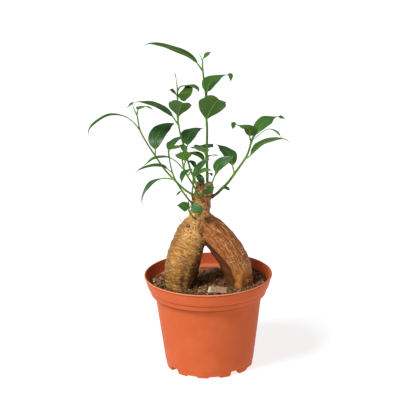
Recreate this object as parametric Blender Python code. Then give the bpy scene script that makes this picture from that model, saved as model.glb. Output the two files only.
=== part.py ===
"""Potted ginseng ficus: a swollen two-legged trunk with nine leafy shoots in a nursery pot.

Run with: blender --background --python part.py
Blender works in metres. The plant's own places below are written in millimetres, measured
from the pot's axis (x to the right, y to the back) and from the surface it stands on (z up).
"""
import math
from collections import namedtuple

import bmesh
import bpy
import numpy as np
from mathutils import Vector

MM = 0.001
CLEARANCE = 0.3                 # gap kept between neighbouring pieces

# Pot: a thin plastic nursery pot, 108 mm across its rim
POT_HEIGHT = 81.0
POT_SIDES = 52
RIM_RADIUS = 54.0
WALL = 1.5
CREASE_DROP = 12.5              # rim down to the crease of the band
CREASE_RADIUS = 50.0
SKIRT_DROP = 18.9               # rim down to the band's lower edge
SKIRT_RADIUS = 48.6
LEDGE_DROP = 9.3                # rim down to the ledge inside
NECK_RADIUS = 45.3              # wall just under the band
FOOT_RADIUS = 37.0
FLOOR_TOP = 3.8
FLOOR_BOTTOM = 2.3
FOOT_WIDTH = 5.0
FOOT_COUNT = 12
FOOT_TURN = 6.0                 # degrees from the front to the first gap between feet
FOOT_GAP = 10.4                 # between two feet at the bottom
FOOT_GAP_TOP = 8.4              # and at the top of the gap
FOOT_GAP_LENGTH = 12.0          # along the radius
FOOT_GAP_HEIGHT = 1.5
DRAIN_GAP_HEIGHT = 4.3
DRAIN_EVERY = 3                 # one gap in three is a tall drain notch
DRAIN_FIRST = 1                 # which gap, counted from the front, is the first of them
DRAIN_HOLES = 4                 # holes in the floor round a middle one
DRAIN_HOLE_RADIUS = 4.0
DRAIN_HOLE_RING = 17.0
DRAIN_HOLE_SIDES = 14
POT_SHARP_EDGE = 35.0           # degrees
INSIDE_FOOT = FLOOR_TOP + 1.6   # where the wall inside starts to curve into the floor

# Soil: fills the pot to just under its rim
SOIL_TOP = 72.8
SOIL_BOTTOM = FLOOR_TOP + CLEARANCE
SOIL_SIDES = 40
SOIL_INNER = 43.0               # radius at the top where the ledge isn't covered
SOIL_OUTER = 48.3
SOIL_BACK = 69.6                # height along the wall at the back
SOIL_EDGE = 74.4                # height along the wall at the sides, before its slope to the left
SOIL_SLOPE = 0.03
SOIL_RINGS = (7.0, 14.0, 21.0, 27.0, 32.0, 36.5, 40.5)
SOIL_LEG_GAP = CLEARANCE + 0.2  # between the legs' skin and the soil they stand in
SOIL_WALL_GAP = 1.5 * CLEARANCE
MOUND = (6.0, 12.0, 1.6, 60.0)  # x, y, height and spread of the heap behind the legs

# Husk: a flat piece of bark lying on the soil at the front
HUSK_SIZE = (13.5, 5.4, 1.7)
HUSK_PLACE = (8.3, -21.0, 74.6)
HUSK_TURN = -7.0
HUSK_WORN_EDGE = 0.5

# Trunk: round limbs given by the places and radii along their middles
LIMBS = {
    "neck": (
        ((-6.0, -1.0, 122.0), 10.0),
        ((-6.0, -0.5, 130.0), 8.6),
        ((-5.8, 0.0, 137.0), 8.2),
        ((-5.1, 0.0, 143.0), 8.4),
        ((-3.9, 0.0, 149.0), 7.5),
        ((-2.4, 0.0, 154.0), 6.6),
    ),
    "left leg": (
        ((-6.0, -1.0, 131.0), 8.6),
        ((-8.5, -2.5, 125.5), 11.0),
        ((-13.0, -4.0, 117.0), 13.2),
        ((-17.5, -5.5, 107.0), 14.0),
        ((-21.6, -7.0, 96.0), 13.2),
        ((-24.4, -8.0, 84.0), 11.8),
        ((-25.2, -8.0, 72.0), 11.0),
        ((-25.4, -8.0, 61.0), 9.0),
    ),
    "right leg": (
        ((-5.5, -1.0, 131.0), 8.4),
        ((-1.5, -2.5, 125.0), 10.4),
        ((6.0, -4.0, 117.5), 12.0),
        ((13.2, -5.0, 108.5), 12.6),
        ((19.6, -6.0, 98.5), 12.6),
        ((24.2, -6.5, 87.0), 12.4),
        ((26.2, -7.0, 75.0), 11.8),
        ((26.8, -7.0, 62.0), 9.6),
    ),
    "left rear root": (
        ((-9.3, 0.0, 117.0), 8.6),
        ((-12.1, 2.0, 100.0), 8.0),
        ((-14.8, 3.0, 86.0), 7.4),
        ((-16.0, 3.5, 73.0), 6.8),
        ((-16.4, 3.5, 62.0), 5.4),
    ),
    "right rear root": (
        ((4.0, 1.0, 116.0), 8.6),
        ((10.5, 3.0, 101.0), 8.4),
        ((18.6, 4.0, 87.0), 7.6),
        ((22.6, 4.0, 74.0), 6.8),
        ((23.4, 4.0, 62.0), 5.4),
    ),
    "right toe": (
        ((27.0, -14.5, 88.0), 3.4),
        ((26.6, -17.4, 80.0), 3.4),
        ((26.4, -18.2, 72.0), 3.4),
        ((26.4, -18.2, 63.0), 2.6),
    ),
    "left stub": (
        ((-5.4, -1.0, 150.0), 5.4),
        ((-5.9, -1.2, 155.5), 4.2),
        ((-5.9, -1.2, 159.5), 3.7),
        ((-5.8, -1.0, 162.3), 2.9),
    ),
    "right stub": (
        ((-0.5, 0.0, 150.0), 5.6),
        ((1.3, 0.5, 154.5), 4.4),
        ((1.8, 0.8, 158.5), 3.8),
        ((1.7, 0.8, 161.0), 3.1),
    ),
}
LIMB_SIDES = 20
TRUNK_VOXEL = 1.5
TRUNK_FACES = 2200
TRUNK_SETTLE = (0.5, 6)         # smoothing factor and passes
NECK_BARK_FROM = 122.0          # height where the knotty bark of the neck begins
NECK_BARK_BLEND = 12.0

# Sockets: the plain holes in the trunk that the stems stand in
SOCKET_GAP = CLEARANCE + 0.1    # round the stem
SOCKET_END_GAP = CLEARANCE + 0.5
SOCKET_REACH = 9.0              # how far along the stem a hole is cut
SOCKET_SPANS = 8

# Leaves and shoots
LEAF_ROWS = 7
SMALL_LEAF_ROWS = 4
SMALL_LEAF_WIDTH = 5.0
LEAF_THICKNESS = 0.7
LEAF_EDGE_SHARE = 0.85          # thickness at the leaf's edge as a share of its middle
LEAF_LEAST_HALF_WIDTH = 0.45
PETIOLE_ROWS = 2
PETIOLE_RADIUS = 0.6
STEM_SIDES = 6
STEM_SPANS = 2                  # rings for each stretch between two of a stem's points
STEM_TAPER = 0.62               # radius near the top as a share of the radius at the base
SPEAR_FROM = 0.88               # share of the stem's length where its pointed new growth begins

# A leaf: places along its midrib, its width, the way its upper side faces, how far it folds, where
# it is widest, how wide a blunt one stays at its end, and how far a tip has turned over on its neck
Leaf = namedtuple("Leaf", "root base bends tip width face fold widest blunt flip",
                  defaults=(0.1, 0.42, 0.0, 0.0))
Shoot = namedtuple("Shoot", "stem base_radius tip_radius leaves")

LIT = (-0.3, -0.75, 0.6)        # upper side turned to the front, as on leaves that grow backwards
UNDER = (0.05, 0.75, 0.65)      # upper side turned back, as on leaves that rise at the front

SHOOTS = {
    "shoot_tall": Shoot(
        stem=((0.5, 5, 156), (0.5, 7, 174), (0.5, 8, 187), (1, 9, 204), (0.5, 9, 217), (0.5, 9, 232),
              (-1, 8, 246.5), (-2, 7, 257.5), (-2, 6.5, 263), (-5, 6, 270)),
        base_radius=1.15, tip_radius=0.35,
        leaves=(
            Leaf((-2.5, 7, 255), (-6, 5, 261), ((-11.5, 2, 267.5), (-20, -1, 273), (-27.5, -3, 276.5),
                 (-35, -4, 279), (-44.5, -4, 280.3)), (-49.5, -4, 278.5), 14, (-0.1, 0.2, 1), 0.03),
            Leaf((-2, 6.5, 262), (-1, 6, 265.5), ((1.5, 4, 268.5),), (5.5, 3, 271), 4.6, (-0.5, -0.6, 0.6)),
            Leaf((0.5, 8.5, 208.5), (0.5, 6, 212.5), ((2.5, -2, 220.5), (6, -9, 228.5), (9.2, -14, 234)),
                 (11.5, -16, 235.5), 23.5, UNDER, 0.3, widest=0.62, blunt=0.8),
            Leaf((0.5, 9, 230.5), (1.5, 12, 235.5), ((3.4, 18, 241.3), (7.8, 26, 243.2), (13, 31, 244),
                 (17.5, 34, 244.2), (21, 35, 243.5)), (21.5, 34, 238.5), 10.5, LIT, widest=0.38, flip=1.6),
            Leaf((0.5, 7.5, 180), (-2.5, 10, 186), ((-4, 15, 187), (0, 22, 185.5)), (6.5, 30, 186), 14,
                 (0, -0.3, 0.95), widest=0.4),
            Leaf((0, 7.5, 181), (-1, 4, 185.5), ((-5, -4, 191.5),), (-12, -11, 195), 14, (0.2, 0.58, 0.8), 0.03,
                 widest=0.5, blunt=0.7),
            Leaf((0.5, 7, 179), (2, 9, 181), ((5.5, 16, 180),), (10, 21, 178), 7, (-0.1, 0.25, 1), 0.03),
            Leaf((0.5, 6, 165), (1.5, 5, 167), ((3.5, 2, 168),), (4.5, 0, 166), 3.5, (0, 0.3, 1)),
        ),
    ),
    "shoot_upper_left": Shoot(
        stem=((-7.2, 3.6, 151.5), (-8.2, 5, 155.5), (-10, 6.5, 161), (-13.5, 9, 170), (-16, 11, 179),
              (-18, 12, 187.5), (-21, 12, 198.5), (-22.5, 12, 207), (-23.5, 11, 216.5), (-23, 10, 229.5),
              (-23, 9, 239.5), (-23.5, 8.5, 245), (-24, 8, 250)),
        base_radius=0.95, tip_radius=0.35,
        leaves=(
            Leaf((-23, 9.5, 237), (-20.5, 8, 241), ((-15, 5, 243), (-10, 1, 243.5), (-6.5, -3, 242)),
                 (-5, -6, 239.5), 9, (0.1, 0.1, 1), 0.03),
            Leaf((-23, 9.5, 232), (-22.5, 7, 234), ((-19, 3, 236.5), (-14.5, -1, 238.5)), (-10.5, -4, 239.5), 15,
                 (0.3, 0.6, -0.65), widest=0.55, blunt=0.75),
            Leaf((-23, 10, 231), (-23.5, 8.5, 233.5), ((-25.5, 4, 237.5),), (-29.5, -1, 241), 7, (0.2, -1, 0.45),
                 widest=0.32),
            Leaf((-23.1, 11.2, 210.6), (-22.5, 8, 215), ((-22.2, 2, 220.5), (-21.2, -5, 226.5), (-19.5, -11, 231.5)),
                 (-18, -14, 233), 19, UNDER, 0.3, widest=0.62, blunt=0.8),
            Leaf((-23, 12, 207.5), (-27.5, 12, 215), ((-32.5, 13, 219.7), (-40, 14, 224), (-49, 16, 226.2),
                 (-59.5, 17, 226.2)), (-65.5, 17, 221.5), 10, (0.3, -0.2, 0.9), 0.03, widest=0.3, flip=0.9),
            Leaf((-17.5, 12, 185.5), (-15.5, 15, 189.5), ((-15, 21, 194), (-12.3, 28, 197), (-7.5, 35, 197.5)),
                 (-1.5, 40, 197), 14.5, LIT, widest=0.4),
        ),
    ),
    "shoot_inner_left": Shoot(
        stem=((-12, -5.5, 144.5), (-14, -8.5, 147.5), (-19, -12, 155.5), (-24.5, -15, 165.5), (-28, -18, 175.5),
              (-30, -20, 186.5), (-30.5, -21, 192), (-31.5, -21.5, 195.5)),
        base_radius=0.8, tip_radius=0.35,
        leaves=(
            Leaf((-30.5, -21, 190), (-30.7, -18.5, 195), ((-28.2, -14, 198.5), (-24.9, -8, 200.2)),
                 (-19.5, 0, 201.7), 11, (-0.6, -0.6, 0.6)),
            Leaf((-30.5, -20.5, 189), (-30, -24, 196.5), ((-25.5, -31, 200.3),), (-20.5, -38, 204), 8,
                 (0.1, 0.5, 0.85)),
            Leaf((-28, -18, 175), (-32, -18, 178.5), ((-34.5, -18, 180.8), (-39, -19, 182.3), (-48.5, -22, 182),
                 (-55, -24, 180)), (-58.5, -24, 176.5), 6, (0.15, -0.15, 1), 0.03, widest=0.2),
            Leaf((-20, -12.7, 157.5), (-21.2, -14, 158), ((-23.3, -15, 156.8),), (-25.5, -16, 154.5), 1.9,
                 (-0.3, -0.6, 0.7)),
        ),
    ),
    "shoot_far_left": Shoot(
        stem=((-9, -1, 149), (-18.5, 5, 153.5), (-24.5, 8, 158.5), (-34, 12, 168), (-42.5, 15, 180),
              (-51, 18, 193.5), (-55, 20, 201.5), (-57.5, 22, 214.5), (-59, 22, 217.5), (-61, 22, 223.5),
              (-62, 22, 225)),
        base_radius=0.95, tip_radius=0.35,
        leaves=(
            Leaf((-55, 20, 201), (-60, 17, 209), ((-66, 14, 214.7), (-73.5, 12, 217.3), (-81, 10, 217.3),
                 (-88.7, 9, 213.9), (-95, 7, 208.7), (-97.2, 6, 204.5)), (-96.5, 6, 200.5), 7.5, (0, 0, 1), 0.03,
                 widest=0.6),
            Leaf((-42.5, 15, 179.5), (-42.5, 17, 185.5), ((-42, 21, 192.5), (-38.5, 27, 198), (-33, 34, 201)),
                 (-26.5, 40, 201.5), 15.5, LIT, blunt=0.2),
            Leaf((-57, 22, 215), (-56, 19, 219.5), ((-49, 6, 225.3),), (-42.5, 0, 223.8), 8, (0.2, -0.15, 1),
                 widest=0.35),
            Leaf((-29, 9.5, 161.5), (-36.5, 12, 161.6), ((-43, 13, 159.3), (-48.7, 15, 154.6), (-53.2, 16, 147.8),
                 (-55, 16, 141.5)), (-54.5, 16, 137.5), 11.5, (-0.15, -0.32, 1), 0.03, widest=0.6),
        ),
    ),
    "shoot_front_left": Shoot(
        stem=((-5, -6.5, 150.5), (-7.5, -9.5, 154), (-10.5, -14, 162), (-14.5, -19, 170.5), (-18, -22, 178.5),
              (-19.5, -23, 186), (-20, -23, 189.5), (-21.5, -23, 196.5)),
        base_radius=0.9, tip_radius=0.35,
        leaves=(
            Leaf((-18, -22, 178), (-25, -23, 186.5), ((-30.5, -25, 190.4), (-37, -28, 192), (-43, -30, 191),
                 (-48.3, -32, 187.7)), (-52, -32, 184.8), 7, (0, 0, 1), 0.03, widest=0.36),
            Leaf((-15.5, -20, 173), (-12, -23.5, 179.5), ((-16.5, -28, 179.2), (-19.5, -32, 176.5)),
                 (-20.5, -34, 171), 8.5, (-0.6, -0.3, 0.6)),
            Leaf((-18.9, -22.7, 182.5), (-17, -25, 186.6), ((-18.2, -28, 191.2), (-19.7, -31, 195)),
                 (-20.7, -32, 196.5), 14, UNDER, 0.15, widest=0.6, blunt=0.75),
            Leaf((-18.4, -22.3, 180.4), (-16.7, -19.5, 192), ((-18.8, -15, 196.2),), (-22, -11, 197), 5,
                 (-0.2, -0.6, 0.7)),
        ),
    ),
    "shoot_center": Shoot(
        stem=((-10.5, -3.5, 146), (-12.2, -5, 150), (-12, -5.5, 156), (-11.2, -6, 161.5), (-11, -6, 167),
              (-9, -6, 171), (-7.5, -6, 175.5)),
        base_radius=0.75, tip_radius=0.45,
        leaves=(
            Leaf((-11, -6, 164), (-11, -8, 168.5), ((-9, -9, 173.5), (-5.5, -11, 178.5), (-1.5, -12, 182.5)),
                 (3.5, -13, 184.7), 6, (-0.6, -0.75, 0.3), 0.03),
            Leaf((-8.3, -6, 173), (-2.5, -5, 180.5), ((-4, -4.5, 184.8), (-8.5, -2.5, 186.7)), (-15.5, 0.5, 187.1), 6,
                 (0.3, -0.45, 0.8)),
            Leaf((-10.8, -6, 167.5), (-7.7, -10, 171.5), ((-4.4, -14, 175), (0, -18, 177.2)), (5, -21, 177.7), 5.5,
                 (-0.1, -0.55, 0.8), 0.03, widest=0.35),
            Leaf((-10.9, -6.1, 165.4), (-9.5, -5, 175), ((-11, -3, 178.8), (-14.5, 1, 179.5)), (-15.6, 3, 178), 5,
                 (0.3, -0.4, 0.8)),
            Leaf((-11.8, -5.6, 157.5), (-8, -10.5, 170.5), ((-4.5, -15, 169.3),), (-1.7, -18, 163.5), 7,
                 (0.5, -0.7, 0.5)),
        ),
    ),
    "shoot_center_right": Shoot(
        stem=((0.2, -2.8, 152), (0.5, -5.5, 155), (1.5, -9.5, 158.5), (4, -13, 163.5), (5.5, -16, 168.5),
              (7, -18, 173), (7.5, -18.5, 176), (8.5, -19, 180)),
        base_radius=0.85, tip_radius=0.35,
        leaves=(
            Leaf((6.8, -17.8, 172), (8, -19.5, 174.5), ((8, -21, 179.6), (11, -23, 183.7), (16.3, -24, 187.2)),
                 (23.5, -25, 190.7), 9.5, (-0.5, -0.75, 0.5), 0.03, widest=0.38),
            Leaf((1.6, -9.7, 158.8), (4.6, -12, 159.5), ((2, -13.5, 157.8),), (-3.2, -15, 155.8), 4.8,
                 (0.1, -0.9, 0.35), blunt=0.3),
        ),
    ),
    "shoot_right": Shoot(
        stem=((2, -0.8, 148.2), (4.5, -2, 149.5), (7.5, -3, 151.5), (11.5, -4, 155.5), (18, -6, 163), (24, -8, 172),
              (29.5, -9, 180), (32.5, -10, 185), (35, -10.5, 191), (37, -11, 198.5), (39.5, -11, 205),
              (41, -11, 208)),
        base_radius=1.25, tip_radius=0.4,
        leaves=(
            Leaf((32.5, -10, 184), (36, -12, 187), ((39.3, -15, 193), (43, -18, 198), (47, -21, 201),
                 (53, -25, 204), (60, -28, 205.6), (65, -30, 205)), (68, -31, 202.5), 9, (0, 0.5, 0.85), 0.03,
                 widest=0.48),
            Leaf((39, -11, 202.5), (40.5, -9, 204), ((42.4, -6, 208), (46.2, -2, 211.2), (51, 2, 213.2),
                 (56, 6, 214.2), (61, 8, 214.3)), (66, 9, 212.3), 10, (-0.25, -0.75, 0.6), widest=0.4, flip=0.8),
            Leaf((37, -11, 198), (35.5, -13, 204), ((36, -16, 210), (32.5, -20, 213.7), (27, -24, 215.8),
                 (23, -26, 217.3)), (21.5, -27, 213.8), 10, (0.3, 0.75, 0.6), widest=0.4, flip=2.1),
            Leaf((37.5, -11, 199.5), (50.5, 3, 205), ((55.5, 8, 203.3), (59.5, 11, 199.8)), (62.5, 13, 195.3), 4,
                 (0, 0.25, 1), 0.03),
            Leaf((23, -7.7, 170), (21.5, -4, 176.5), ((20.6, 1, 180.8), (18.5, 7, 183.8), (15, 14, 185.6)),
                 (8.5, 21, 188), 12.5, (0.3, -0.7, 0.6)),
            Leaf((14, -4.8, 158), (14.5, -7, 159), ((16.5, -10, 158.8),), (19, -13, 157.5), 3.6, (-0.1, -0.3, 1)),
        ),
    ),
    "shoot_low": Shoot(
        stem=((-8.5, -7, 130.5), (-11, -11.5, 134), (-13, -13.5, 137), (-15, -14.5, 141), (-15, -15, 146.5),
              (-15.5, -15, 151)),
        base_radius=0.8, tip_radius=0.35,
        leaves=(
            Leaf((-15, -14.8, 143), (-15.6, -15.8, 142.8), ((-19, -18, 145),), (-25.2, -20, 146.8), 7.5,
                 (0.3, -0.85, 0.3), blunt=0.2),
            Leaf((-14.8, -14.8, 144.5), (-13, -16, 146), ((-9.2, -18, 145.7), (-6.2, -19.6, 143.6)), (-5.4, -20.2, 139.4),
                 8, (-0.1, -0.8, 0.5)),
        ),
    ),
}

# Colours as the real surfaces show them, in linear light
FINISHES = {
    "pot": ((0.58, 0.17, 0.065), 0.45),
    "soil": ((0.045, 0.03, 0.02), 0.95),
    "husk": ((0.32, 0.2, 0.11), 0.85),
    "trunk": ((0.3, 0.17, 0.06), 0.5),
    "shoot": ((0.07, 0.16, 0.03), 0.4),
}


def clear_scene():
    """Remove what the opened file holds."""
    for old in list(bpy.data.objects):
        bpy.data.objects.remove(old, do_unlink=True)


def add_finish(name):
    """Return the material called name, made on its first use."""
    material = bpy.data.materials.get(name)
    if material is None:
        colour, roughness = FINISHES[name]
        material = bpy.data.materials.new(name)
        material.use_nodes = True
        shader = material.node_tree.nodes["Principled BSDF"]
        shader.inputs["Base Color"].default_value = (*colour, 1.0)
        shader.inputs["Roughness"].default_value = roughness
        shader.inputs["Metallic"].default_value = 0.0
    return material


def add_object(name, points, faces, finish=None):
    """Make an object from points in millimetres and faces."""
    mesh = bpy.data.meshes.new(name)
    mesh.from_pydata([tuple(float(v) * MM for v in p) for p in points], [], [tuple(f) for f in faces])
    mesh.validate()
    shape = bpy.data.objects.new(name, mesh)
    bpy.context.scene.collection.objects.link(shape)
    if finish:
        mesh.materials.append(add_finish(finish))
    return shape


def bake(shape):
    """Turn an object's modifiers into its mesh."""
    bpy.context.view_layer.update()
    graph = bpy.context.evaluated_depsgraph_get()
    mesh = bpy.data.meshes.new_from_object(shape.evaluated_get(graph))
    shape.modifiers.clear()
    old = shape.data
    shape.data = mesh
    bpy.data.meshes.remove(old)
    return shape


def combine(shape, others, operation, solver="EXACT"):
    """Join or cut a shape with others through one Boolean, then remove the others."""
    group = bpy.data.collections.new("tools")
    bpy.context.scene.collection.children.link(group)
    for other in others:
        bpy.context.scene.collection.objects.unlink(other)
        group.objects.link(other)
    change = shape.modifiers.new("combine", "BOOLEAN")
    change.operation = operation
    change.operand_type = "COLLECTION"
    change.collection = group
    change.solver = solver
    bake(shape)
    for other in others:
        bpy.data.objects.remove(other, do_unlink=True)
    bpy.data.collections.remove(group)
    return shape


def triangulate(shape):
    """Merge points that coincide and split a shape's faces into triangles."""
    work = bmesh.new()
    work.from_mesh(shape.data)
    bmesh.ops.remove_doubles(work, verts=work.verts, dist=0.00001)
    bmesh.ops.triangulate(work, faces=work.faces)
    work.to_mesh(shape.data)
    work.free()
    return shape


def smooth_run(points):
    """Return close points along a rounded curve through the given ones, and their run lengths."""
    ends = np.asarray(points, float)
    ends = np.vstack([2 * ends[0] - ends[1], ends, 2 * ends[-1] - ends[-2]])
    steps = np.linspace(0.0, 1.0, 25)[:-1, None]
    line = []
    for a, b, c, d in zip(ends[:-3], ends[1:-2], ends[2:-1], ends[3:]):
        before, here, after = (math.sqrt(np.linalg.norm(q - r)) for q, r in ((b, a), (c, b), (d, c)))
        leave = here * ((b - a) / before - (c - a) / (before + here) + (c - b) / here)
        arrive = here * ((c - b) / here - (d - b) / (here + after) + (d - c) / after)
        t = steps
        line.append((2 * t**3 - 3 * t**2 + 1) * b + (t**3 - 2 * t**2 + t) * leave
                    + (3 * t**2 - 2 * t**3) * c + (t**3 - t**2) * arrive)
    line = np.vstack(line + [ends[-2][None]])
    run = np.concatenate([[0.0], np.cumsum(np.linalg.norm(np.diff(line, axis=0), axis=1))])
    return line, run


def read_run(line, run, stations):
    """Return points and directions at the given lengths along a curve."""
    step = run[-1] * 0.004
    at = [np.stack([np.interp(s, run, line[:, k]) for k in range(3)], -1)
          for s in (stations, np.minimum(stations + step, run[-1]), np.maximum(stations - step, 0.0))]
    way = at[1] - at[2]
    return at[0], way / np.linalg.norm(way, axis=1, keepdims=True)


def carry_sides(ways, first, start=0):
    """Carry a side direction along a curve without twisting it."""
    sides = np.zeros_like(ways)
    side = np.asarray(first, float)
    side = side - ways[start] * np.dot(side, ways[start])
    sides[start] = side / np.linalg.norm(side)
    order = list(range(start + 1, len(ways))) + list(range(start - 1, -1, -1))
    for i in order:
        near = sides[i - 1] if i > start else sides[i + 1]
        side = near - ways[i] * np.dot(near, ways[i])
        sides[i] = side / np.linalg.norm(side)
    return sides


def add_tube(name, centers, radii, sides, finish=None):
    """Make a closed tube through rings of the given radii."""
    centers = np.asarray(centers, float)
    ways = np.gradient(centers, axis=0)
    ways = ways / np.linalg.norm(ways, axis=1, keepdims=True)
    across = carry_sides(ways, (0.0, 1.0, 0.03) if abs(ways[0][1]) < 0.9 else (1.0, 0.0, 0.0))
    over = np.cross(ways, across)
    turns = np.linspace(0.0, 2.0 * math.pi, sides, endpoint=False)
    points = []
    for center, radius, u, v in zip(centers, radii, across, over):
        points.extend(center + radius * (math.cos(a) * u + math.sin(a) * v) for a in turns)
    faces = []
    last = len(centers) - 1
    for i in range(last):
        for j in range(sides):
            k = (j + 1) % sides
            faces.append((i * sides + j, i * sides + k, (i + 1) * sides + k, (i + 1) * sides + j))
    faces.append(tuple(range(sides - 1, -1, -1)))
    faces.append(tuple(last * sides + j for j in range(sides)))
    return add_object(name, points, faces, finish)


def ease(low, high, values):
    """Rise smoothly from 0 at low to 1 at high."""
    share = np.clip((values - low) / (high - low), 0.0, 1.0)
    return share * share * (3.0 - 2.0 * share)


def blade_width(leaf, s):
    """Half width of a leaf from its base at 0 to its pointed tip at 1, as a share of the widest."""
    body = np.sin(np.pi * np.clip(s, 0.0, 1.0) ** (math.log(0.5) / math.log(leaf.widest))) ** 0.85
    if leaf.blunt:
        end = np.sqrt(np.clip((1.0 - s) / 0.15, 0.0, 1.0))
        return np.maximum(body, leaf.blunt * ease(0.3, 0.7, s) * end)
    if leaf.flip:
        turned = 0.28 * leaf.flip * np.sin(np.pi * np.clip((s - 0.82) / 0.18, 0.0, 1.0))
        return np.maximum(body * (1.0 - 0.94 * ease(0.4, 0.84, s)), turned)
    return body * (1.0 - 0.5 * ease(0.75, 0.96, s))


def add_leaf(leaf):
    """Make one leaf with its petiole as a thin closed solid, folded a little along its midrib."""
    line, run = smooth_run((leaf.root, leaf.base, *leaf.bends, leaf.tip))
    start = run[np.argmin(np.linalg.norm(line - np.asarray(leaf.base, float), axis=1))]
    rows = LEAF_ROWS if leaf.width > SMALL_LEAF_WIDTH else SMALL_LEAF_ROWS
    s = np.linspace(0.0, 1.0, rows + 1)
    s = s - 0.035 * np.sin(2.0 * np.pi * s)
    stations = np.concatenate([np.linspace(0.0, start, PETIOLE_ROWS + 1)[:-1], start + s * (run[-1] - start)])
    middle, ways = read_run(line, run, stations)
    upright = carry_sides(ways, leaf.face, start=PETIOLE_ROWS + rows * 2 // 5)
    across = np.cross(ways, upright)
    half = np.concatenate([np.full(PETIOLE_ROWS, PETIOLE_RADIUS),
                           np.maximum(leaf.width / 2.0 * blade_width(leaf, s), LEAF_LEAST_HALF_WIDTH)])
    depth = np.concatenate([np.full(PETIOLE_ROWS, PETIOLE_RADIUS),
                            np.maximum(PETIOLE_RADIUS - 1.5 * s, LEAF_THICKNESS / 2.0)])
    raised = np.where(half > 1.0, half * leaf.fold, 0.0)
    points = []
    for sign in (1.0, -1.0):
        for p, u, n, w, d, f in zip(middle, across, upright, half, depth, raised):
            for x in (-1.0, 0.0, 1.0):
                thick = d * (LEAF_EDGE_SHARE if x else 1.0)
                points.append(p + u * w * x + n * (f * abs(x) + sign * thick))
    count = len(middle)
    under = 3 * count
    faces = []
    for i in range(count - 1):
        a, b, c = 3 * i, 3 * i + 1, 3 * i + 2
        for face in ((a, a + 3, b + 3), (a, b + 3, b), (b, b + 3, c), (c, b + 3, c + 3)):
            faces.append(face[::-1])
            faces.append(tuple(under + v for v in face))
    rim = [3 * i for i in range(count)] + [3 * count - 2]
    rim += [3 * i + 2 for i in range(count - 1, -1, -1)] + [1]
    for a, b in zip(rim, rim[1:] + rim[:1]):
        faces.append((a, b, under + b))
        faces.append((a, under + b, under + a))
    return add_object("leaf", points, faces)


def stem_rings(shoot, spans):
    """Return the middles and radii of a shoot's stem, with a ring at each of its points."""
    line, run = smooth_run(shoot.stem)
    knots = [run[np.argmin(np.linalg.norm(line - np.asarray(p, float), axis=1))] for p in shoot.stem]
    stations = np.interp(np.arange((len(knots) - 1) * spans + 1) / spans, range(len(knots)), knots)
    middle, _ = read_run(line, run, stations)
    share = stations / run[-1]
    radii = shoot.base_radius * (1.0 - (1.0 - STEM_TAPER) * np.minimum(share / SPEAR_FROM, 1.0))
    spear = np.clip((share - SPEAR_FROM) / (1.0 - SPEAR_FROM), 0.0, 1.0)
    return middle, radii + (shoot.tip_radius - radii) * spear


def orient(shape):
    """Turn every face of a closed shape outwards."""
    work = bmesh.new()
    work.from_mesh(shape.data)
    bmesh.ops.recalc_face_normals(work, faces=work.faces)
    work.to_mesh(shape.data)
    work.free()
    return shape


def make_shoot(name, shoot):
    """Make a leafy stem: its leaves fused to its stem in one solid."""
    middle, radii = stem_rings(shoot, STEM_SPANS)
    stem = orient(add_tube(name, middle, radii, STEM_SIDES, "shoot"))
    leaves = [orient(add_leaf(leaf)) for leaf in shoot.leaves]
    combine(stem, leaves, "UNION")
    return triangulate(stem)


def ripple(points, normals):
    """Low relief of the bark in millimetres: swellings, ring wrinkles and knots."""
    x, y, z = points[:, 0], points[:, 1], points[:, 2]
    swell = 0.35 * np.sin(0.21 * x + 0.17 * z + 1.0) * np.sin(0.19 * y - 0.12 * z)
    rings = 0.16 * np.sin(0.9 * z + 0.35 * x + 1.4 * np.sin(0.12 * y + 0.1 * x))
    rough = np.clip((z - NECK_BARK_FROM) / NECK_BARK_BLEND, 0.0, 1.0)
    knots = 0.45 * np.sin(0.62 * x + 0.9) * np.sin(0.55 * z) * np.cos(0.6 * y + 0.4)
    return swell * (1.0 - rough) + rings + knots * rough


def make_skin():
    """Make the trunk's form: round limbs grown together, smoothed and wrinkled."""
    limbs = []
    for name, rings in LIMBS.items():
        line, run = smooth_run([place for place, _ in rings])
        knots = [run[np.argmin(np.linalg.norm(line - np.asarray(place), axis=1))] for place, _ in rings]
        stations = np.linspace(0.0, run[-1], 4 * len(rings))
        middle, _ = read_run(line, run, stations)
        radii = np.interp(stations, knots, [radius for _, radius in rings])
        limbs.append(orient(add_tube(name, middle, radii, LIMB_SIDES)))
    trunk = limbs[0]
    trunk.name = "trunk"
    work = bmesh.new()
    for limb in limbs:
        work.from_mesh(limb.data)
    work.to_mesh(trunk.data)
    work.free()
    for limb in limbs[1:]:
        bpy.data.objects.remove(limb, do_unlink=True)
    skin = trunk.modifiers.new("one skin", "REMESH")
    skin.mode = "VOXEL"
    skin.voxel_size = TRUNK_VOXEL * MM
    settle = trunk.modifiers.new("settle", "SMOOTH")
    settle.factor, settle.iterations = TRUNK_SETTLE
    bake(trunk)
    mesh = trunk.data
    places = np.array([v.co[:] for v in mesh.vertices]) / MM
    normals = np.array([v.normal[:] for v in mesh.vertices])
    moved = places + normals * ripple(places, normals)[:, None]
    mesh.vertices.foreach_set("co", (moved * MM).ravel())
    mesh.update()
    fewer = trunk.modifiers.new("fewer faces", "DECIMATE")
    fewer.ratio = min(1.0, TRUNK_FACES / (2.0 * len(mesh.polygons)))
    return triangulate(bake(trunk))


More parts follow.
